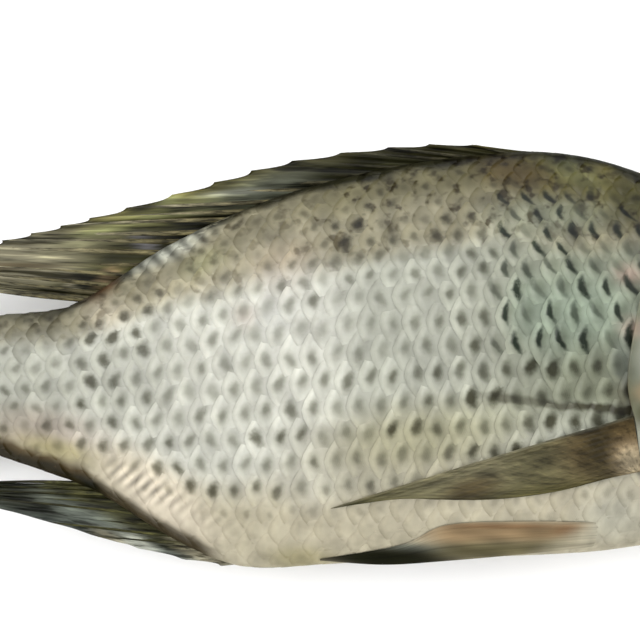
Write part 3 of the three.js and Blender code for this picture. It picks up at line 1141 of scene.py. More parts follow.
@dataclass(frozen=True)
class HeadRelief:
    """Low forms of the head: sockets, nostrils, jaw and cheek folds."""

    form: Form
    socket_radius: float = 8.0
    nostril: Pair = (232.0, 8.0)
    mouth_level: float = -3.2
    mouth_slope: float = 0.36
    socket_depth: float = 4.5
    folds: tuple[tuple[Sweep, float, float], ...] = (  # line, height and width
        (Sweep(((241, 7.5), (237, 2.5), (232.5, -5), (230, -12))), -0.55, 0.9),  # jaw
        (Sweep(((244, -11), (232, -14.5), (218, -20), (206, -26))), -0.45, 1.0),  # chin
        (Sweep(((232, 15.5), (222, 21.5), (210, 22.5), (200, 19))), 0.5, 2.4),  # brow
    )

    def slit(self, x: Array, y: Array) -> Array:
        """Height of points over the mouth's slit."""
        return y - self.mouth_level - self.mouth_slope * (x - self.form.length)

    def from_nostril(self, x: Array, y: Array) -> Array:
        """Distance of points (x, y) from the middle of the nostril."""
        return np.hypot(x - self.nostril[0], y - self.nostril[1])

    def lift(self, x: Array, y: Array) -> Array:
        """How far the skin stands off the form at (x, y)."""
        eye, nose = self.form.from_eye(x, y), self.from_nostril(x, y)
        made = -self.socket_depth * smooth(eye, self.socket_radius, self.socket_radius - 2)
        made += 0.8 * bump(eye - self.socket_radius - 1, 1.4)
        made += -1.3 * bump(nose, 1.0) + 0.35 * bump(nose - 2, 0.7)
        for line, height, width in self.folds:
            made += height * bump(line.gap(x, y), width)
        made += -0.8 * bump(self.slit(x, y), 0.8) * smooth(x, 235, 239)
        return made


@dataclass
class Body:
    """The skin of the trunk and head under the scales."""

    form: Form
    colour: SkinColour
    relief: HeadRelief
    skin_depth: float = 0.3
    join: float = 186.0  # station where the trunk's skin ends, under the gill covers
    overlap: float = 14.0
    snout: float = 248.6  # the lips reach farther
    crowding: float = 1.35  # the head's faces grow shorter towards the snout
    trunk_faces: tuple[int, int] = (190, 150)
    head_faces: tuple[int, int] = (230, 260)
    seam: float = 0.01

    def surface(self, x: Array, angle: Array, lift: Array, shrink: Array) -> Array:
        """Points off the form.

        Args:
            x: Stations.
            angle: Angles round the section, in radians.
            lift: Distances from the form along its normal.
            shrink: Share of the section's size, 0 to close an end.

        Returns:
            One point for each.
        """
        step, turn = 0.5, 0.02
        back = np.maximum(x - step, 0)
        ahead = np.minimum(x + step, self.form.length)
        along = self.form.ring(ahead, angle) - self.form.ring(back, angle)
        across = self.form.ring(x, angle + turn) - self.form.ring(x, angle - turn)
        made = self.form.ring(x, angle) + unit(np.cross(along, across)) * lift[:, None]
        middle = np.stack([x, self.form.widest(x), np.zeros_like(x)], axis=-1)
        return middle + (made - middle) * shrink[:, None]

    def trunk(self, finish: SkinFinish) -> None:
        """Makes the skin from the tail root to under the gill covers."""
        def place(along: Array, around: Array) -> Array:
            """Points of the trunk's skin."""
            x = self.join * along
            angle = -math.pi / 2 + 2 * math.pi * around
            depth = np.full_like(x, -self.skin_depth)
            return self.surface(x, angle, depth, smooth(along, 0, 0.004))

        clay = Clay()
        clay.sheet(*self.trunk_faces, place)
        clay.weld(self.seam)
        clay.to_piece("trunk_skin", self.form, finish,
                  lambda points, _: self.colour.at(points[:, 0], points[:, 1], 11))

    def head_hue(self, points: Array, _: Array) -> Array:
        """Colours of the head: painted shade in the mouth's slit and nostril, dark round the
        eye.
        """
        x, y = points[:, 0], points[:, 1]
        # painted shade in the shut mouth's slit
        slit = 0.9 * bump(self.relief.slit(x, y), 0.9) * smooth(x, 236, 239)
        hue = blend(self.colour.at(x, y, 12), PITCH, slit)
        hue = blend(hue, MOSS, 0.6 * bump(self.form.from_eye(x, y) - 9, 2.0))
        # painted shade in the nostril
        return blend(hue, PITCH, 0.9 * bump(self.relief.from_nostril(x, y), 1.1))

    def head(self, finish: SkinFinish) -> None:
        """Makes the skin of the head, with sockets, nostrils and folds."""
        def place(along: Array, around: Array) -> Array:
            """Points of the head's skin."""
            start = self.join - self.overlap
            x = start + (self.snout - start) * (1 - (1 - along) ** self.crowding)
            angle = -math.pi / 2 + 2 * math.pi * around
            y = self.form.ring(x, angle)[:, 1]
            lift = self.relief.lift(x, y) - self.skin_depth * smooth(x, 205, 195)
            return self.surface(x, angle, lift, smooth(along, 1, 0.995))

        clay = Clay()
        clay.sheet(*self.head_faces, place)
        clay.weld(self.seam)
        clay.to_piece("head_skin", self.form, finish, self.head_hue)


@dataclass
class FlankSheet:
    """An open sheet that lies on a flank. Each kind has its own place and hue."""

    form: Form
    side: Side
    skin: SkinColour
    finish: Finish = SkinFinish()
    name: str = "sheet"
    faces: tuple[int, int] = (1, 1)
    weld: float = 1e-4

    def place(self, along: Array, across: Array) -> Array:
        """Points of its outer face on the right flank, for shares from 0 to 1."""
        raise NotImplementedError

    def hue(self, points: Array, chart: Array) -> Array:
        """Colours of its points."""
        raise NotImplementedError

    def build(self) -> None:
        """Makes the sheet."""
        clay = Clay()
        clay.sheet(*self.faces, self.place)
        clay.weld(self.weld)
        clay.face_up()
        clay.take_to(self.side)
        clay.to_piece(f"{self.name}_{self.side.word}", self.form, self.finish, self.hue)


@dataclass
class GillCover(FlankSheet):
    """A gill cover: a bony plate whose rear edge stands off the flank, with its fold."""

    name: str = "gill_cover"
    faces: tuple[int, int] = (54, 80)
    weld: float = 1e-3
    shape: GillShape = GillShape()
    edge_share: float = 0.9  # where the face ends and the rolled edge starts
    edge_depth: float = 2.6
    grooves: tuple[Triple, ...] = ((0.45, 0.42, 0.05), (0.2, 0.86, 0.04))  # depth, place, width

    def place(self, along: Array, down: Array) -> Array:
        """Points of the cover: its face, then its rolled rear edge."""
        towards = np.minimum(along / self.edge_share, 1)
        rolled = np.clip((along - self.edge_share) / (1 - self.edge_share), 0, 1)
        at = self.shape.front(down) * (1 - towards[:, None])
        at += self.shape.rear(down) * towards[:, None]
        rise = self.shape.foot + self.shape.rise * towards**2
        groove = sum(depth * bump(towards - at, width) for depth, at, width in self.grooves)
        rise = rise - groove - 0.4 * smooth(towards, 0.12, 0)
        rise -= self.edge_depth * rolled**2
        rise -= 0.5 * (smooth(down, 0.05, 0) + smooth(down, 0.95, 1))
        at[:, 0] += 1.2 * rolled**3 - 0.5 * np.sin(math.pi * rolled)
        return np.column_stack([at, self.form.flank(at[:, 0], at[:, 1]) + rise])

    def hue(self, points: Array, chart: Array) -> Array:
        """Colours of the cover, darker and redder at its rear edge."""
        hue = self.skin.at(points[:, 0], points[:, 1], 21)
        hue = blend(hue, MOSS, 0.35 * smooth(chart[:, 0], 0.76, 0.93))
        return blend(hue, RUST, 0.2 * smooth(chart[:, 0], 0.9, 1.0))


@dataclass
class Mouth:
    """The two lips, which run from one mouth corner round the snout to the other."""

    form: Form
    relief: HeadRelief
    # painted dimming that offsets the bright lamps, as on the skin
    wet_share: float
    tone: str = "8f8768"
    stations: tuple[float, ...] = (237.0, 241.0, 244.6, 246.9)
    slit: float = 0.9
    radius: float = 2.1
    closeness: float = 0.8
    sunk: float = 0.5  # depth of the middle line in the skin
    setback: float = 2.15  # of the middle line at the tip

    def path(self, way: int) -> Sweep:
        """Middle line of a lip: way is 1 for the upper and -1 for the lower."""
        away = way * (self.radius + self.slit / 2) * self.closeness
        half = []
        for i, station in enumerate(self.stations):
            level = self.relief.mouth_level
            level += self.relief.mouth_slope * (station - self.form.length)
            y = level + away * min(i, 1)
            z = self.form.flank(np.array([station]), np.array([y]))[0] - self.sunk
            half.append((station, y, z))
        tip = (self.form.length - self.setback, self.relief.mouth_level + away, 0.0)
        other = [(x, y, -z) for x, y, z in reversed(half)]
        return Sweep((*half, tip, *other))

    def thickness(self, share: Array) -> Array:
        """Radius along a lip: full at the snout, closed at both ends."""
        swell = 0.25 + 0.75 * np.sin(math.pi * share) ** 0.7
        return self.radius * swell * smooth(np.minimum(share, 1 - share), 0, 0.02)

    def hue(self, points: Array, _: Array) -> Array:
        """Colours of the lips, rosy at the slit."""
        height = self.relief.slit(points[:, 0], points[:, 1])
        hue = np.tile(rgb(self.tone), (len(points), 1))
        hue = blend(hue, BLUSH, 0.5 * bump(height, 1.6))
        return self.wet_share * blend(hue, OLIVE, 0.7 * smooth(height, 1.5, 4))

    def build(self, finish: SkinFinish) -> None:
        """Makes both lips as one piece."""
        clay = Clay()
        for way in (1, -1):
            clay.tube(self.path(way), self.thickness, 72, 18, up=(0, 1, 0), mark=way)
        clay.weld()
        clay.to_piece("lips", self.form, finish, self.hue)


@dataclass
class Eye:
    """An eyeball and the fold of skin round it."""

    form: Form
    side: Side
    tone: str = "7c7a60"
    radius: float = 7.6
    depth: float = 4.6
    cornea: Pair = (0.06, 0.45)  # its bulge and width, in radii
    rim_radius: float = 1.5
    rim_shape: Pair = (1.1, 0.8)  # outwards and upwards
    rim_swell: float = 0.12
    gap: float = 0.3

    def seat(self, lift: float) -> Matrix:
        """Where a shape sits on the skin, its Z leaving it."""
        x, y = (np.array([value]) for value in self.form.eye_place)
        normal = Vector(self.form.normal(x, y)[0])
        foot = Vector((x[0], y[0], self.form.flank(x, y)[0]))
        turn = Vector((0, 0, 1)).rotation_difference(normal).to_matrix().to_4x4()
        return Matrix.Translation(foot + normal * lift) @ turn

    def ball(self, finish: EyeFinish) -> None:
        """Makes the eyeball: a lens with a bulging cornea over the pupil."""
        clay = Clay()
        made = bmesh.ops.create_uvsphere(clay.bm, u_segments=56, v_segments=40, radius=1.0)
        for vert in made["verts"]:
            vert[clay.chart] = vert.co
            reach = math.hypot(vert.co.x, vert.co.y)
            height, width = self.cornea
            bulge = height * math.exp(-((reach / width) ** 2)) if vert.co.z > 0 else 0.0
            vert.co.z *= 1 + bulge
        size = (self.radius, self.radius, self.depth)
        bmesh.ops.scale(clay.bm, vec=size, verts=made["verts"])
        bmesh.ops.transform(clay.bm, matrix=self.seat(-self.form.eye_sink), verts=made["verts"])
        clay.take_to(self.side)
        clay.to_piece(f"eyeball_{self.side.word}", self.form, finish,
                  node=f"eye_{self.side.word}")

    def rim(self, finish: SkinFinish) -> None:
        """Makes the fold of skin round the eyeball."""
        seat = np.array(self.seat(-self.rim_radius / 3))

        def path(share: Array) -> Array:
            """The ring's middle line."""
            turn = 2 * math.pi * share
            ring = (self.radius + self.gap) * np.stack([np.cos(turn), np.sin(turn)], axis=-1)
            ring = np.column_stack([ring, np.zeros(len(share)), np.ones(len(share))])
            return (ring @ seat.T)[:, :3]

        def place(along: Array, around: Array) -> Array:
            """Points of the fold: higher outside than at the eyeball."""
            middle = path(along)
            out = unit(middle - seat[:3, 3])
            turn = 2 * math.pi * around[:, None]
            swell = 1 + self.rim_swell * np.sin(2 * math.pi * along * 3)[:, None]
            wide, high = self.rim_shape
            way = out * np.cos(turn) * wide + seat[:3, 2] * np.sin(turn) * high
            return middle + self.rim_radius * swell * way

        clay = Clay()
        clay.sheet(96, 14, place)
        clay.weld()
        clay.take_to(self.side)
        clay.to_piece(f"eye_fold_{self.side.word}", self.form, finish,
                  lambda points, _: np.tile(0.5 * rgb(self.tone), (len(points), 1)))


# ------------------------------------------------------------------ scales


@dataclass
class ScaleCoat:
    """The overlapping scales of one flank, in rows that are staggered by half a scale."""

    form: Form
    chart: SkinChart
    gill: GillShape
    colour: SkinColour
    side: Side
    seed: int
    name: str = "flank_scales"
    pitch: float = 5.5
    length: float = 11.6
    overlap: float = 1.0  # half height of a scale as a share of the row spacing
    rear_lift: float = 0.15
    front_lift: float = -0.35
    corner_lift: float = -0.35
    dome: float = 0.14
    skirt: float = 0.12
    point_share: float = 0.45  # how far the rear edge is an arrow head and not an arc
    corner_sag: float = 0.63  # how far the rear edge falls back at its ends, in pitches
    bow: float = 1.15  # power of the arrow head's sides
    root_share: float = 0.86  # height of the hidden root as a share of the scale's
    shift: float = 0.4  # random, in mm along the row
    yaw: float = 0.07  # random, like the next two
    lift: Pair = (-0.07, 0.08)
    tilt: float = 0.08
    columns: int = 5
    rows: int = 6
    limits: Triple = (2.0, 197.0, 206.0)  # rear, front below, front above
    tucked: float = 7.0  # how far the rows run on under the gill cover
    crowding: float = 0.3  # rows past the even ones lie closer together by this share
    even_rows: float = 3.5
    spacing: Graph = Graph(((0, 4.4), (33, 5.3), (80, 6.5), (165, 6.4), (210, 5.8)))
    # line of the skin fold above the breast fin: a shallow groove with painted shade along it
    fold: Sweep = Sweep(((169, -5.8), (156, -4.4), (143, -3.1), (129, -1.2)))
    ridge_mm: float = 2.6  # from one long ridge at the anal fin's base to the next
    ridge_way: float = 42.0
    back_pace: float = 0.68  # the ridges at the back fin's base lie this much closer
    anal_ridges: Sweep = Sweep(((39, -20.5), (47, -24.5), (56, -28.6), (66, -33.5)))
    back_ridges: Sweep = Sweep(((42, 28.8), (48, 31.9), (55, 35.4), (61.5, 38.6)))
    clumps: tuple[Triple, ...] = (
        (119, 4, 5.0), (131.5, 1, 5.0), (91.5, 30, 7.0), (101, 41, 6.0), (145, 29, 5.0),
        (124, 44, 6.0), (132, 36, 4.0), (28.5, -9.5, 3.0), (98, 37, 4.0), (139.5, 3, 3.0),
        (146, 4, 3.0), (42, 14, 7.0), (113, -9.5, 3.0), (122, -9.5, 4.0), (90, 23.5, 3.5),
        (104, 35, 2.5), (119, 8, 2.5),
    )

    def level(self, row: Array) -> Array:
        """Distance of rows from the axis, in row spacings."""
        past = np.maximum(np.abs(row) - self.even_rows, 0)
        return row - np.sign(row) * self.crowding * (np.sqrt(past**2 + 1) - 1)

    def seats(self) -> Array:
        """Places of the scales.

        Returns:
            Station, row number and size for each scale.
        """
        found = []
        rear_limit, under, over = self.limits
        for row in range(-13, 18):
            start = rear_limit + 0.5 * self.pitch * (row % 2)
            x = np.arange(start, over, self.pitch)
            s = self.level(np.full_like(x, row)) * self.spacing(x)
            low, high = self.chart.span(x)
            y = self.chart.point(x, s)[:, 1]
            rear, _ = self.gill.edges(y)
            covered = (y > -33) & (y < 36)
            limit = np.where(covered, rear + self.tucked, np.where(y > 0, over, under))
            keep = (s > low + 1.0) & (s < high - 1.2) & (x < limit)
            found.append(np.column_stack([x, np.full_like(x, row), np.ones_like(x)])[keep])
        return np.concatenate(found)

    def ground(self, x: Array, y: Array) -> Array:
        """How far what the scales lie on stands off the form."""
        return -0.1 * bump(self.fold.gap(x, y), 1.8)

    def calm(self, x: Array, y: Array) -> Array:
        """1 in the middle of the flank, where the scales carry hardly any marks."""
        return mound(x, y, (104, 20), (16, 18), power=2)

    def strengths(self, x: Array, y: Array, draw: np.random.Generator) -> Array:
        """Markings of each scale, by station, level and share of the depth.

        Args:
            x: Stations of the scales.
            y: Their levels.
            draw: The random draw.

        Returns:
            Strength of the oval, of the leaning bar and of the specks, and the tone.
        """
        share = self.form.height_share(x, y)
        high = smooth(share, 0.74, 0.84)
        front = smooth(x, 130, 138) * between(share, 0.46, 0.54, 0.88, 0.94)

        # spots fade in the pale patches, and vary by chance, most of all on the high back
        pale = 0.7 * mound(x, y, (76, 15), (16, 15)) + 0.35 * mound(x, y, (64, -5), (11, 8))
        cream = 0.7 * mound(x, y, (41, -21), (10, 6))
        spot = 0.95 * smooth(share, 0.1, 0.22)
        spot *= (1 - pale) * (1 - cream) * (1 - 0.5 * self.calm(x, y)) * smooth(x, 200, 170)
        spot *= 1 - 0.35 * smooth(x, 34, 26)
        chance = draw.random(len(x))
        spot = spot * (0.3 + 0.8 * chance - 0.35 * high * (1 - chance))
        spot += 0.3 * smooth(x, 126, 136) * between(share, 0.74, 0.8, 0.88, 0.92)
        for cx, cy, reach in self.clumps:
            spot += 0.8 * bump(np.hypot(x - cx, y - cy), reach) * draw.random(len(x))
        bar = front * (0.2 + 1.25 * draw.random(len(x)))
        spot += 0.25 * smooth(x, 133, 141) * between(share, 0.2, 0.3, 0.42, 0.5)
        spot *= (1 - 0.8 * front) * (1 - 0.25 * high)

        # specks lie thick on the high back, and every scale has its own tone
        speck = (0.5 + 0.35 * smooth(x, 80, 100)) * high + 0.12
        speck *= (1 - self.ridged(x, y)) * (0.6 + 0.6 * draw.random(len(x)))
        spread = 0.05 + 0.07 * smooth(share, 0.1, 0.3) + 0.06 * high
        tone = 1 + spread * draw.uniform(-1, 1, len(x))
        return np.column_stack([np.clip(spot, 0, 1.4), np.clip(bar, 0, 1), speck, tone])

    def ridged(self, x: Array, y: Array) -> Array:
        """How plainly the pale ridges that wrap the bases of the anal and back fins show."""
        anal = 0.85 * bump(self.anal_ridges.gap(x, y), 2.8) * (1 - 0.75 * smooth(x, 47, 58))
        return np.maximum(anal, bump(self.back_ridges.gap(x, y), 2.5))

    def net(self, x: Array, y: Array) -> Array:
        """How plainly the scales' edges show: their painted highlight and dark pockets."""
        share = self.form.height_share(x, y)
        plain = (0.2 + 0.8 * smooth(share, 0.14, 0.24)) * (1 - 0.3 * self.calm(x, y))
        plain *= (1 - 0.75 * smooth(share, 0.76, 0.86)) * (1 - 0.4 * smooth(x, 34, 26))
        return plain * (1 - 0.8 * self.ridged(x, y))

    def bands(self, points: Array, middle: Array) -> Array:
        """What crosses the scales.

        Args:
            points: The scales' points, for each scale.
            middle: Each scale's middle.

        Returns:
            Strength of the net and of the ridges at the fins' bases, then the distance across
            these ridges in their own number, or farther forward the height over the skin
            fold behind the gill cover in millimetres, then the strength of the fold's painted
            shade.
        """
        x, y = points[..., 0], points[..., 1]
        net = np.broadcast_to(self.net(middle[:, 0], middle[:, 1])[:, None], x.shape)
        line = np.array(self.fold.points)[::-1]
        beyond = y - np.interp(x, line[:, 0], line[:, 1])
        beyond = beyond * (1 - 0.5 * smooth(x, 154, 166))
        turn = math.radians(self.ridge_way)
        number = (x * math.sin(turn) + np.abs(y) * math.cos(turn)) / self.ridge_mm
        number = np.where(y > 0, number * self.back_pace, number)
        between_both = 100  # station behind which no fold runs and before which no ridge does
        across = np.where(x < between_both, number, beyond)
        # strength of the painted shade in the fold
        folded = between(x, 122, 134, 171, 176)
        folded *= 0.6 + 0.35 * smooth(x, 144, 158) + 0.2 * ripple(x, y, 13, 3)
        return np.stack([net, self.ridged(x, y), across, folded], axis=-1).reshape(-1, 4)

    def relief_share(self, x: Array, y: Array) -> Array:
        """1 where the scales stand out, less where they are small and bedded in slime."""
        share = self.form.height_share(x, y)
        bedded = smooth(share, 0.1, 0.22) * (1 - 0.5 * smooth(share, 0.76, 0.86))
        bedded *= 1 - 0.8 * self.ridged(x, y)
        return 0.15 + 0.85 * bedded * smooth(share, 0.99, 0.93)

    def template(self) -> tuple[Array, Array, list[tuple[int, ...]]]:
        """One scale: its shares along and across, and its faces, skirt included."""
        wide = self.rows + 1
        across = np.linspace(-1, 1, wide)
        u, v = np.meshgrid(np.linspace(0, 1, self.columns + 1), across, indexing="ij")
        starts = (i * wide + j for i in range(self.columns + 1) for j in range(self.rows))
        faces = [(a, a + 1, a + 1 + wide, a + wide) for a in starts]
        return np.append(u, np.ones(wide)), np.append(v, across), faces

    def plates(self, seats: Array, u: Array, v: Array,
               draw: np.random.Generator) -> tuple[Array, Array]:
        """Bends the scales over the skin.

        Args:
            seats: Station, row number and size for each scale.
            u: Shares along a scale, with the skirt's last.
            v: Shares across it, from -1 to 1.
            draw: The random draw.

        Returns:
            The points of each scale, and each scale's middle.
        """
        station, row, size = (seats[:, [i]] for i in range(3))
        station = station + draw.uniform(-self.shift, self.shift, station.shape)
        yaw = draw.uniform(-self.yaw, self.yaw, station.shape)
        raised = draw.uniform(*self.lift, station.shape)
        tilt = draw.uniform(-self.tilt, self.tilt, station.shape)
        level = self.level(row)
        closeness = self.level(row + 0.5) - self.level(row - 0.5)
        half = self.overlap * self.spacing(station) * size * (0.25 + 0.75 * closeness)
        bow = self.point_share * np.abs(v) ** self.bow + (1 - self.point_share) * v**2
        sag = self.corner_sag * self.pitch * size * bow
        length = self.length * size
        x = station - length / 2 + sag + (1 - u) * (length - sag) + yaw * v * half
        x = np.clip(x, 0.2, self.form.length - 1)
        narrow = self.root_share + (1 - self.root_share) * np.minimum(u / 0.5, 1)
        s = level * self.spacing(x) + v * half * narrow
        points = self.chart.point(x, s)
        middle = self.chart.point(station[:, 0], (level * self.spacing(station))[:, 0])

        # the free end stands off, the corners and the skirt dip into what lies below
        is_skirt = np.arange(len(u)) >= len(u) - self.rows - 1
        lift = self.front_lift + (self.rear_lift - self.front_lift) * u**1.2
        lift = lift + self.corner_lift * np.abs(v) ** 3
        lift = lift + self.dome * (1 - v**2) * np.sin(math.pi * np.minimum(u + 0.15, 1))
        relief = self.relief_share(middle[:, 0], middle[:, 1])[:, None]
        lift = (lift + raised * u + tilt * v * u) * relief - self.skirt * is_skirt
        lift = lift + self.ground(points[..., 0], points[..., 1])
        return points + self.chart.normal(x, s) * lift[..., None], middle

    def build(self, finish: ScaleFinish) -> None:
        """Makes all scales of the coat as one piece."""
        draw = np.random.default_rng(self.seed)
        seats = self.seats()
        count = len(seats)
        u, v, faces = self.template()
        points, middle = self.plates(seats, u, v, draw)
        marks = self.strengths(middle[:, 0], middle[:, 1], draw)
        bands = self.bands(points, middle)
        flat = points.reshape(-1, 3)
        hue = self.colour.at(flat[:, 0], flat[:, 1], self.seed)
        offsets = np.arange(count)[:, None, None] * len(u)
        quads = (offsets + np.array(faces)[None]).reshape(-1, 4)
        if self.side is Side.LEFT:
            flat = flat * np.array([1, 1, -1])
            quads = quads[:, ::-1]
        mesh = bpy.data.meshes.new(f"{self.name}_{self.side.word}")
        mesh.from_pydata(flat.tolist(), [], quads.tolist())
        paint(mesh, "hue", hue)
        paint(mesh, "marks", np.repeat(marks, len(u), axis=0))
        paint(mesh, "bands", bands)
        shares = np.stack([
            np.tile(u, count), np.tile(v, count), np.repeat(np.arange(count), len(u)),
        ], axis=-1)
        layer = mesh.attributes.new("chart", "FLOAT_VECTOR", "POINT")
        layer.data.foreach_set("vector", shares.astype(np.float32).ravel())
        settle(mesh, self.form, finish, "fish")


@dataclass
class CheekCoat(ScaleCoat):
    """The scales on a gill cover and cheek."""

    name: str = "cheek_scales"
    smallness: float = 0.86

    def seats(self) -> Array:
        """Places of the scales: on the cover and cheek, clear of the eye."""
        found = []
        for row in range(-4, 6):
            x = np.arange(160, 206, self.pitch) + 0.5 * self.pitch * (row % 2)
            s = self.level(np.full_like(x, row)) * self.spacing(x)
            y = self.chart.point(x, s)[:, 1]
            rear, _ = self.gill.edges(y)
            clear = (x < 204) & (self.form.from_eye(x, y) > 15)
            keep = (x > rear + 7.5) & (y > -24) & (y < 30) & clear
            size = np.full_like(x, self.smallness)
            found.append(np.column_stack([x, np.full_like(x, row), size])[keep])
        return np.concatenate(found)

    def ground(self, x: Array, y: Array) -> Array:
        """The cover's own rise."""
        return self.gill.height(x, y)

    def strengths(self, x: Array, y: Array, draw: np.random.Generator) -> Array:
        """Markings of each scale: dark rear edges that fade towards the eye."""
        made = super().strengths(x, y, draw)
        made[:, 0] = 0.15 * draw.random(len(x))
        made[:, 1] = 0.5 * draw.random(len(x)) * smooth(x, 205, 180)
        made[:, 3] = np.clip(made[:, 3], 0.9, 1.1)
        return made


# ------------------------------------------------------------------ fins


@dataclass(frozen=True)
class FinColour:
    """Where each pigment lies on a fin, painted shade and highlight included."""

    base: Pigment
    tip: Pigment
    dabs: tuple[Dab, ...] = ()
    # painted dimming that offsets the bright lamps, as on the skin
    wet_share: float = 0.55
    blotch_share: float = 0.25

    def at(self, points: Array, out: Array, seed: int) -> Array:
        """The fin's own colour at points that lie at the share out from its root."""
        x, y = points[:, 0], points[:, 1]
        colour = np.tile(rgb(self.base.value), (len(x), 1))
        colour = blend(colour, self.tip, smooth(out, 0.25, 0.95))
        colour = dabbed(colour, self.dabs, x, y)
        blotch = 1 + self.blotch_share * ripple(x, 3 * y, 14, seed)
        return self.wet_share * colour * np.clip(blotch, 0.4, 1.6)[:, None]


@dataclass
class MedianFin:
    """A fin in the mid-plane: rays from a root line to a margin line, skin between them."""

    name: str
    form: Form
    root: Sweep
    margin: Sweep
    rays: int
    seed: int
    spiny_share: float
    notch: Pair  # depth of the margin's notches at spines and at soft rays
    colour: FinColour
    ray_colour: FinColour
    finish: Finish = FinFinish(
        "wet_fin_skin", streaks_across=26, streaks_along=1.6, dark_share=0.95, light_share=0.8,
    )
    ray_finish: Finish = FinFinish(
        "horny_fin_rays", streaks_across=12, streaks_along=5, dark_share=0.8, light_share=0.5,
    )
    pleat: float = 0.55
    wall: float = 0.16  # half the skin's thickness
    ray_radius: Pair = (0.95, 0.28)  # at the root and at the tip
    soft_share: float = 0.72  # a soft ray's radius at its root, in spines
    spine_tip: float = 0.7  # a spine's radius at its tip, in soft rays

    def at(self, along: Array, out: Array) -> Array:
        """Points of the fin's plane."""
        valley = np.abs(np.sin(math.pi * along * self.rays))
        foot, tip = self.root(along), self.margin(along)
        length = np.maximum(np.linalg.norm(tip - foot, axis=1), 1)
        notch = np.where(along < self.spiny_share, self.notch[0], self.notch[1])
        reach = out * (1 - valley * notch / length)
        return foot + (tip - foot) * reach[:, None]

    def skin(self) -> None:
        """Makes the pleated skin between the rays."""
        def place(along: Array, around: Array) -> Array:
            """Points of the skin: its right face, then its left one."""
            out = 1 - np.abs(2 * around - 1)
            flat = self.at(along, out)
            fold = self.pleat * np.sin(2 * math.pi * along * self.rays + 0.9)
            fold += 0.3 * ripple(along * 40, out * 3, 3, self.seed)
            z = fold * (0.35 + 0.65 * out) * (1 - 0.35 * out)
            wall = self.wall * smooth(np.minimum(out, 1 - out), 0, 0.08)
            wall *= smooth(np.minimum(along, 1 - along), 0, 0.01)  # closed at the edges
            return np.column_stack([flat, z + np.where(around < 0.5, wall, -wall)])

        clay = Clay()
        clay.sheet(self.rays * 8, 44, place)
        for vert in clay.bm.verts:
            along, around, mark = vert[clay.chart]
            vert[clay.chart] = (along, 1 - abs(2 * around - 1), mark)
        clay.weld(1e-4)
        clay.to_piece(f"{self.name}_skin", self.form, self.finish,
                  lambda points, chart: self.colour.at(points, chart[:, 1], self.seed))

    def bones(self) -> None:
        """Makes the spines and soft rays."""
        draw = np.random.default_rng(self.seed)
        clay = Clay()
        for i in range(self.rays + 1):
            along = i / self.rays
            spiny = along < self.spiny_share
            aside = draw.uniform(-0.35, 0.35)
            bow = draw.uniform(-0.5, 0.5)

            def path(share: Array) -> Array:
                """Middle line of this ray, a little bowed and to one side."""
                here = np.full_like(share, along)
                flat = self.at(here, share * 0.995)
                flat[:, 1] += bow * np.sin(math.pi * share)
                flat += (self.root(here) - self.margin(here)) * 0.03 * (1 - share)[:, None]
                return np.column_stack([flat, aside * np.sin(math.pi * share / 2)])

            thick, thin = self.ray_radius
            thick = thick if spiny else self.soft_share * thick
            thin = self.spine_tip * thin if spiny else thin

            def radius(share: Array) -> Array:
                """Radius of this ray, closed at both ends."""
                end = between(share, 0, 0.02, 0.99, 1) ** 0.5
                return (thick + (thin - thick) * share**0.8) * end

            clay.tube(path, radius, 26, 8, mark=i)
        clay.weld(1e-4)
        clay.to_piece(f"{self.name}_rays", self.form, self.ray_finish,
                  lambda points, chart: self.ray_colour.at(points, chart[:, 0], self.seed + 7))


@dataclass
class BreastFin(FlankSheet):
    """A breast fin, folded back on the flank, with its fleshy base."""

    colour: FinColour = FinColour(UMBER, OLIVE, dabs(
        (126, -21, 28, 7, TAUPE, 0.4, 17), (141, -17, 9, 5, OLIVE, 0.4, 20),
        (155, -14, 9, 8, BARK, 0.9), (156.5, -14, 5, 8, PITCH, 0.6),
        (164.5, -15.5, 4.5, 6.5, TAN, 0.95), (164.5, -17, 4, 4.5, SAND, 0.5),
        (163.5, -8.5, 6, 4.2, BARK, 0.9), (126, -24, 7, 3, BARK, 0.7, 15),
        (104, -29, 22, 2, MOSS, 0.7),
    ), blotch_share=0.4)
    finish: Finish = FinFinish(
        "wet_breast_fin", streaks_across=8, streaks_along=20, dark_share=0.5, light_share=0.3,
        joint_share=0.08, gloss=0.08,
    )
    name: str = "breast_fin"
    faces: tuple[int, int] = (104, 60)  # eight to a ray
    root: Sweep = Sweep(((164.5, -6), (167, -20)))
    margin: Sweep = Sweep((
        (88.5, -30), (98, -28.2), (108.6, -26.8), (118.4, -26.9), (128.2, -26.9),
        (138, -26.1), (147.8, -24.4), (157.6, -21.6),
    ))
    sag: float = -0.6
    sunk: float = 0.3  # depth of its edges in the skin
    rises: Triple = (0.8, 1.2, 0.4)  # everywhere, more at the root, more on the rays
    rays: int = 13

    def place(self, across: Array, back: Array) -> Array:
        """Points of the fin's outer face."""
        valley = np.abs(np.sin(math.pi * across * self.rays))
        at = self.root(across) * (1 - back[:, None]) + self.margin(across) * back[:, None]
        at[:, 1] -= self.sag * np.sin(math.pi * back) * (1 - across)
        ray = (1 - valley) * smooth(back, 0.05, 0.35) * (1 - 0.4 * back)
        rise = self.rises[0] + self.rises[1] * (1 - back) ** 2 + self.rises[2] * ray
        edge = between(across, 0, 0.07, 0.93, 1) * smooth(back, 1, 0.97)
        rise = (rise + self.sunk) * edge - self.sunk
        return np.column_stack([at, self.form.flank(at[:, 0], at[:, 1]) + rise])

    def hue(self, points: Array, chart: Array) -> Array:
        """Colours of the fin, with a trace of the skin at its upper edge."""
        hue = self.colour.at(points, chart[:, 1], 5)
        bare = self.skin.at(points[:, 0], points[:, 1], 5)
        return hue + 0.4 * (bare - hue) * smooth(chart[:, 0], 0.1, 0)[:, None]


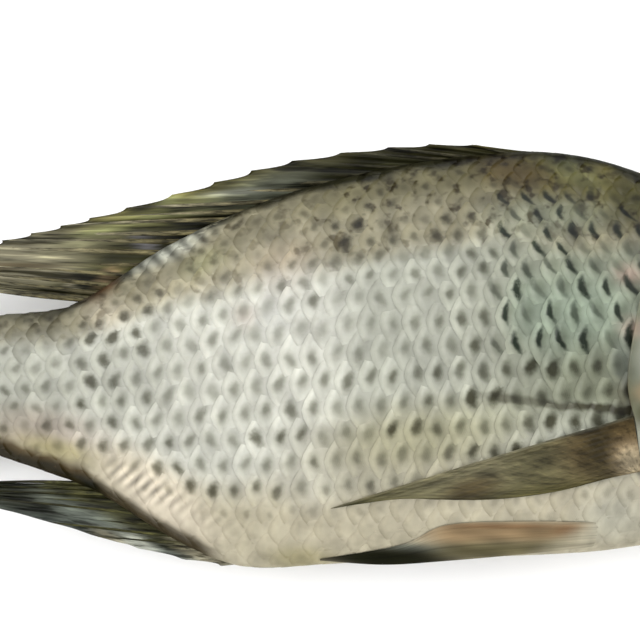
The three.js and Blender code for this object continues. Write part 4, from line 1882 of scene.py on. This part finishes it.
@dataclass
class BellyFin(FlankSheet):
    """A belly fin, folded back along the edge of the belly."""

    colour: FinColour = FinColour(BELLY, BELLY, dabs(
        (137, -35.2, 24, 3.7, TAN, 1.0), (124, -35.6, 8.5, 3.4, TAN, 1.0),
        (137, -34.2, 22, 1.8, BARK, 0.15), (151, -34.6, 5, 1.8, RUST, 0.7),
        (134, -33.4, 14, 0.7, RUST, 0.5), (126, -39.8, 20, 2.6, UMBER, 0.95, 3),
        (145, -39.6, 22, 2.6, UMBER, 0.8, 5), (158, -38, 6, 4, STRAW, 0.6),
        # (106, -42.2) and (104, -42.0) PITCH: the fin's dark membrane, and a painted shadow
        # beneath it
        (109, -39.2, 9, 1.6, SLATE, 0.8, -3), (106, -42.2, 19, 3.2, PITCH, 1.0, -3),
        (104, -42.0, 16, 3.0, PITCH, 1.0, -3),
    ))
    finish: Finish = FinFinish(
        "wet_belly_fin", streaks_across=14, streaks_along=2, dark_share=0.25, light_share=0.08,
        gloss=0.02,
    )
    name: str = "belly_fin"
    faces: tuple[int, int] = (48, 56)  # eight to a ray
    upper: Sweep = Sweep((
        (159, -32.6), (140, -32.2), (120, -33.2), (109, -38.4), (89, -42.4),
    ))
    lower: Sweep = Sweep((
        (158, -39.6), (140, -42.0), (120, -43.9), (104, -44.4), (89, -42.8),
    ))
    keel: float = 4.2
    rays: int = 6

    def place(self, down: Array, back: Array) -> Array:
        """Points of the fin's outer face."""
        valley = np.abs(np.sin(math.pi * down * self.rays))
        high, low = self.upper(back), self.lower(back)
        at = high * (1 - down[:, None]) + low * down[:, None]
        outer = self.form.flank(high[:, 0], high[:, 1]) + 0.1
        z = outer + (self.keel - outer) * down**1.4
        z = np.maximum(z, self.form.flank(at[:, 0], at[:, 1]) + 0.3)
        rolled = smooth(down, 0.88, 1)
        at[:, 1] += 1.2 * rolled
        z = z - 4 * rolled**2
        raised = smooth(down, 0, 0.2) * (0.5 + 0.5 * (1 - valley) * (1 - 0.5 * back))
        raised *= smooth(back, 0, 0.16) * (1 - 0.6 * smooth(back, 0.35, 0.75))
        return np.column_stack([at, z + raised - 0.5 * smooth(back, 0.12, 0)])

    def hue(self, points: Array, chart: Array) -> Array:
        """Colours of the fin, which grow out of the skin's at its root."""
        down, back = chart[:, 0], chart[:, 1]
        bare = self.skin.at(points[:, 0], points[:, 1], 6)
        start = 0.02 + 0.05 * down
        shown = smooth((back - start) / (0.1 + 0.14 * down), 0, 1)[:, None]
        return bare + (self.colour.at(points, back, 6) - bare) * shown


# ------------------------------------------------------------------ the studio


@dataclass
class Studio:
    """A white floor, soft light from above and a camera that looks straight down."""

    middle: Pair = (-0.009, 0.0089)
    field_width: float = 0.16  # metres across the picture at the mid-plane
    lens: float = 150.0
    sensor: float = 36.0
    floor_size: float = 4.0
    light_size: float = 0.9
    lamps: tuple[tuple[float, float, float, float], ...] = (  # place in metres, then watts
        (-0.62, 0.3, 0.95, 10.0), (0.75, 0.35, 0.8, 6.0), (0.15, -0.85, 0.8, 7.0),
        (-0.1, 0.95, 0.7, 4.0),
    )
    horizon_strength: float = 1.0
    zenith_strength: float = 0.3
    fade: Pair = (0.55, 0.96)  # heights between which the room grows dim
    floor_drop: float = 0.0002

    def floor(self) -> None:
        """Makes the floor."""
        bm = bmesh.new()
        bmesh.ops.create_grid(bm, x_segments=1, y_segments=1, size=self.floor_size / 2)
        mesh = bpy.data.meshes.new("floor")
        bm.to_mesh(mesh)
        bm.free()
        mesh.transform(Matrix.Translation((0, 0, -self.floor_drop)))
        paper = Shading(bpy.data.materials.new("white_paper"))
        mesh.materials.append(paper.close({"Base Color": linear("f4f4f4"), "Roughness": 0.9}))
        floor = bpy.data.objects.new("floor", mesh)
        bpy.context.scene.collection.objects.link(floor)

    def lights(self) -> None:
        """Makes a ring of soft boxes and a pale room that is dimmer overhead."""
        for i, (x, y, z, watts) in enumerate(self.lamps):
            light = bpy.data.lights.new(f"soft_box_{i}", "AREA")
            light.shape = "DISK"
            light.size = self.light_size
            light.energy = watts
            lamp = bpy.data.objects.new(f"soft_box_{i}", light)
            lamp.location = (x, y, z)
            lamp.rotation_euler = (-lamp.location).to_track_quat("-Z", "Y").to_euler()
            bpy.context.scene.collection.objects.link(lamp)
        world = bpy.data.worlds.new("pale_room")
        add = Shading(world).add
        height = add("SeparateXYZ", (add("TexCoord", out="Generated"),), "Z")
        levels = (self.horizon_strength, self.zenith_strength)
        strength = add("MapRange", (height, *self.fade, *levels), **SOFT)
        add("OutputWorld", (add("Background", (linear("ffffff"), strength)),))
        bpy.context.scene.world = world

    def camera(self, level: float) -> None:
        """Makes the camera, straight above the mid-plane at the given level."""
        lens = bpy.data.cameras.new("above")
        lens.lens = self.lens
        lens.sensor_width = self.sensor
        lens.clip_start, lens.clip_end = 0.05, 20.0
        camera = bpy.data.objects.new("above", lens)
        away = self.field_width * self.lens / self.sensor
        camera.location = (*self.middle, level + away)
        bpy.context.scene.collection.objects.link(camera)
        bpy.context.scene.camera = camera
        bpy.context.scene.view_settings.view_transform = "Standard"


# ------------------------------------------------------------------ the fish


def median_fins(form: Form) -> tuple[MedianFin, ...]:
    """The back, anal and tail fins."""
    back = MedianFin(
        name="back_fin", form=form,
        root=Sweep((
            (158, 56), (139, 56.5), (109, 52), (79, 43.2), (52, 32.6), (34, 23.2), (31, 22),
        )),
        margin=Sweep((
            (153, 57.4), (126, 60.9), (104, 60), (79, 56.2), (59, 50.4), (36, 43.8),
            (20, 39.6), (5, 35.8), (-6, 31.6), (-10, 28.6), (-6, 26.4), (3, 25),
        )),
        rays=23, spiny_share=0.66, notch=(2.6, 0.5), seed=31,
        colour=FinColour(MOSS, OLIVE, dabs(
            (16, 34, 20, 5, TAUPE, 0.85, 12), (14, 28, 14, 3, TAUPE, 0.9, 4),
            (12, 32, 16, 8, SAND, 0.3, 8), (37, 40, 18, 2.5, LEAF, 0.3, 20),
            (56, 45, 12, 2.5, LEAF, 0.35, 16), (76, 50, 16, 4, SLATE, 0.5, 18),
            (40, 33, 8, 4, PITCH, 0.5, 35), (56, 39.6, 13, 3.2, PITCH, 0.8, 28),
            (45, 36.5, 2, 3.5, LILAC, 0.8, 60), (31, 26.3, 4, 2.6, PITCH, 0.9),
            (26.5, 26, 1.1, 3.5, SAND, 0.8, 20), (35.5, 27.4, 3.5, 1.8, TAN, 0.7, 45),
            (12, 30.5, 12, 1.0, BARK, 0.8), (11, 36.8, 6, 1.0, PITCH, 0.7, 12),
            (28, 40.8, 5, 1.0, PITCH, 0.8, 10), (34, 39.2, 7, 0.8, LEAF, 0.7, 8),
            (45, 45.4, 5, 1.3, PITCH, 0.85, 18), (47, 42.2, 4, 0.8, LEAF, 0.7, 8),
            (53, 44.0, 4, 1.2, PITCH, 0.8, 12), (51.5, 47.0, 2.5, 1.2, LEAF, 0.7, 12),
            # (67, 48.8) ASH is a painted highlight line on the folded fin
            (66, 52.3, 9, 2.0, PITCH, 0.7, 20), (67, 48.8, 8, 0.8, ASH, 0.35, 6),
            (118, 58, 30, 5, PITCH, 0.75), (96, 54, 16, 4, PITCH, 0.7, 18),
        )),
        ray_colour=FinColour(UMBER, TAUPE, dabs(
            (118, 58, 34, 5, PITCH, 0.8), (96, 53, 16, 5, PITCH, 0.8, 18),
            (66, 52.3, 9, 2.0, PITCH, 0.7, 20), (45, 45.4, 5, 1.3, PITCH, 0.8, 18),
            (18, 24.4, 13, 1.4, PITCH, 0.75, -6),
        ), blotch_share=0.5),
    )
    anal = MedianFin(
        name="anal_fin", form=form,
        root=Sweep(((74, -43), (64, -40.6), (51, -34.6), (38, -27.4), (31, -24))),
        margin=Sweep((
            (64, -44.4), (52, -42.2), (38, -38.6), (24, -34.4), (9, -30.4), (-3, -27),
            (-8, -25.4), (-4, -24.2), (5, -23.8),
        )),
        rays=10, spiny_share=0.25, notch=(1.6, 0.4), seed=32,
        colour=FinColour(MOSS, SLATE, dabs(
            (10, -26, 12, 6, PITCH, 0.9, -20), (30, -32, 14, 3, SLATE, 0.7, -25),
            (36, -28, 8, 2.5, PITCH, 0.6, -35), (44, -39, 6, 2, ASH, 0.7, -30),
            (36, -37.5, 5, 1.6, SAND, 0.8, -25), (54, -38.5, 4, 1.6, SAND, 0.6, -25),
            (58, -38.6, 4, 2, BARK, 0.8, -25), (61, -42, 8, 2, SAND, 0.9, -15),
        ), blotch_share=0.5),
        ray_colour=FinColour(MOSS, MOSS, dabs(
            (10, -26, 12, 6, PITCH, 0.8, -20), (61, -42, 8, 2, SAND, 0.8, -15),
        ), blotch_share=0.6),
        finish=FinFinish(
            "wet_anal_fin", streaks_across=18, streaks_along=4, dark_share=0.85,
            light_share=0.35,
        ),
        ray_radius=(0.8, 0.25),
    )
    tail = MedianFin(
        name="tail_fin", form=form,
        root=Sweep(((7, 17.4), (4, 10), (3, 1.2), (4, -8), (7, -15))),
        margin=Sweep((
            (-44, 32), (-50, 24), (-53.2, 13), (-54, 1.4), (-53.2, -10), (-50, -20.5),
            (-44, -28.5),
        )),
        rays=14, spiny_share=0.0, notch=(0.9, 0.9), seed=33,
        colour=FinColour(TAUPE, UMBER),
        ray_colour=FinColour(SAND, UMBER),
        pleat=0.4,
    )
    return back, anal, tail


def main() -> None:
    """Builds the fish and the studio."""
    logging.basicConfig(level=logging.INFO, format="%(message)s")
    form = Form()
    chart = SkinChart(form)
    gill = GillShape()
    relief = HeadRelief(form)
    colour = SkinColour(form)
    skin = SkinFinish()
    scales = ScaleFinish()

    body = Body(form, colour, relief)
    body.trunk(skin)
    body.head(skin)
    Mouth(form, relief, colour.wet_share).build(skin)
    for side in Side:
        GillCover(form, side, colour).build()
        Eye(form, side).ball(EyeFinish())
        Eye(form, side).rim(skin)
        ScaleCoat(form, chart, gill, colour, side, 40 + side.value).build(scales)
        CheekCoat(form, chart, gill, colour, side, 50 + side.value).build(scales)

    for fin in median_fins(form):
        fin.skin()
        fin.bones()
    for side in Side:
        BreastFin(form, side, colour).build()
        BellyFin(form, side, colour).build()

    studio = Studio()
    studio.floor()
    studio.lights()
    studio.camera(form.origin()[2])


if __name__ == "__main__":
    main()
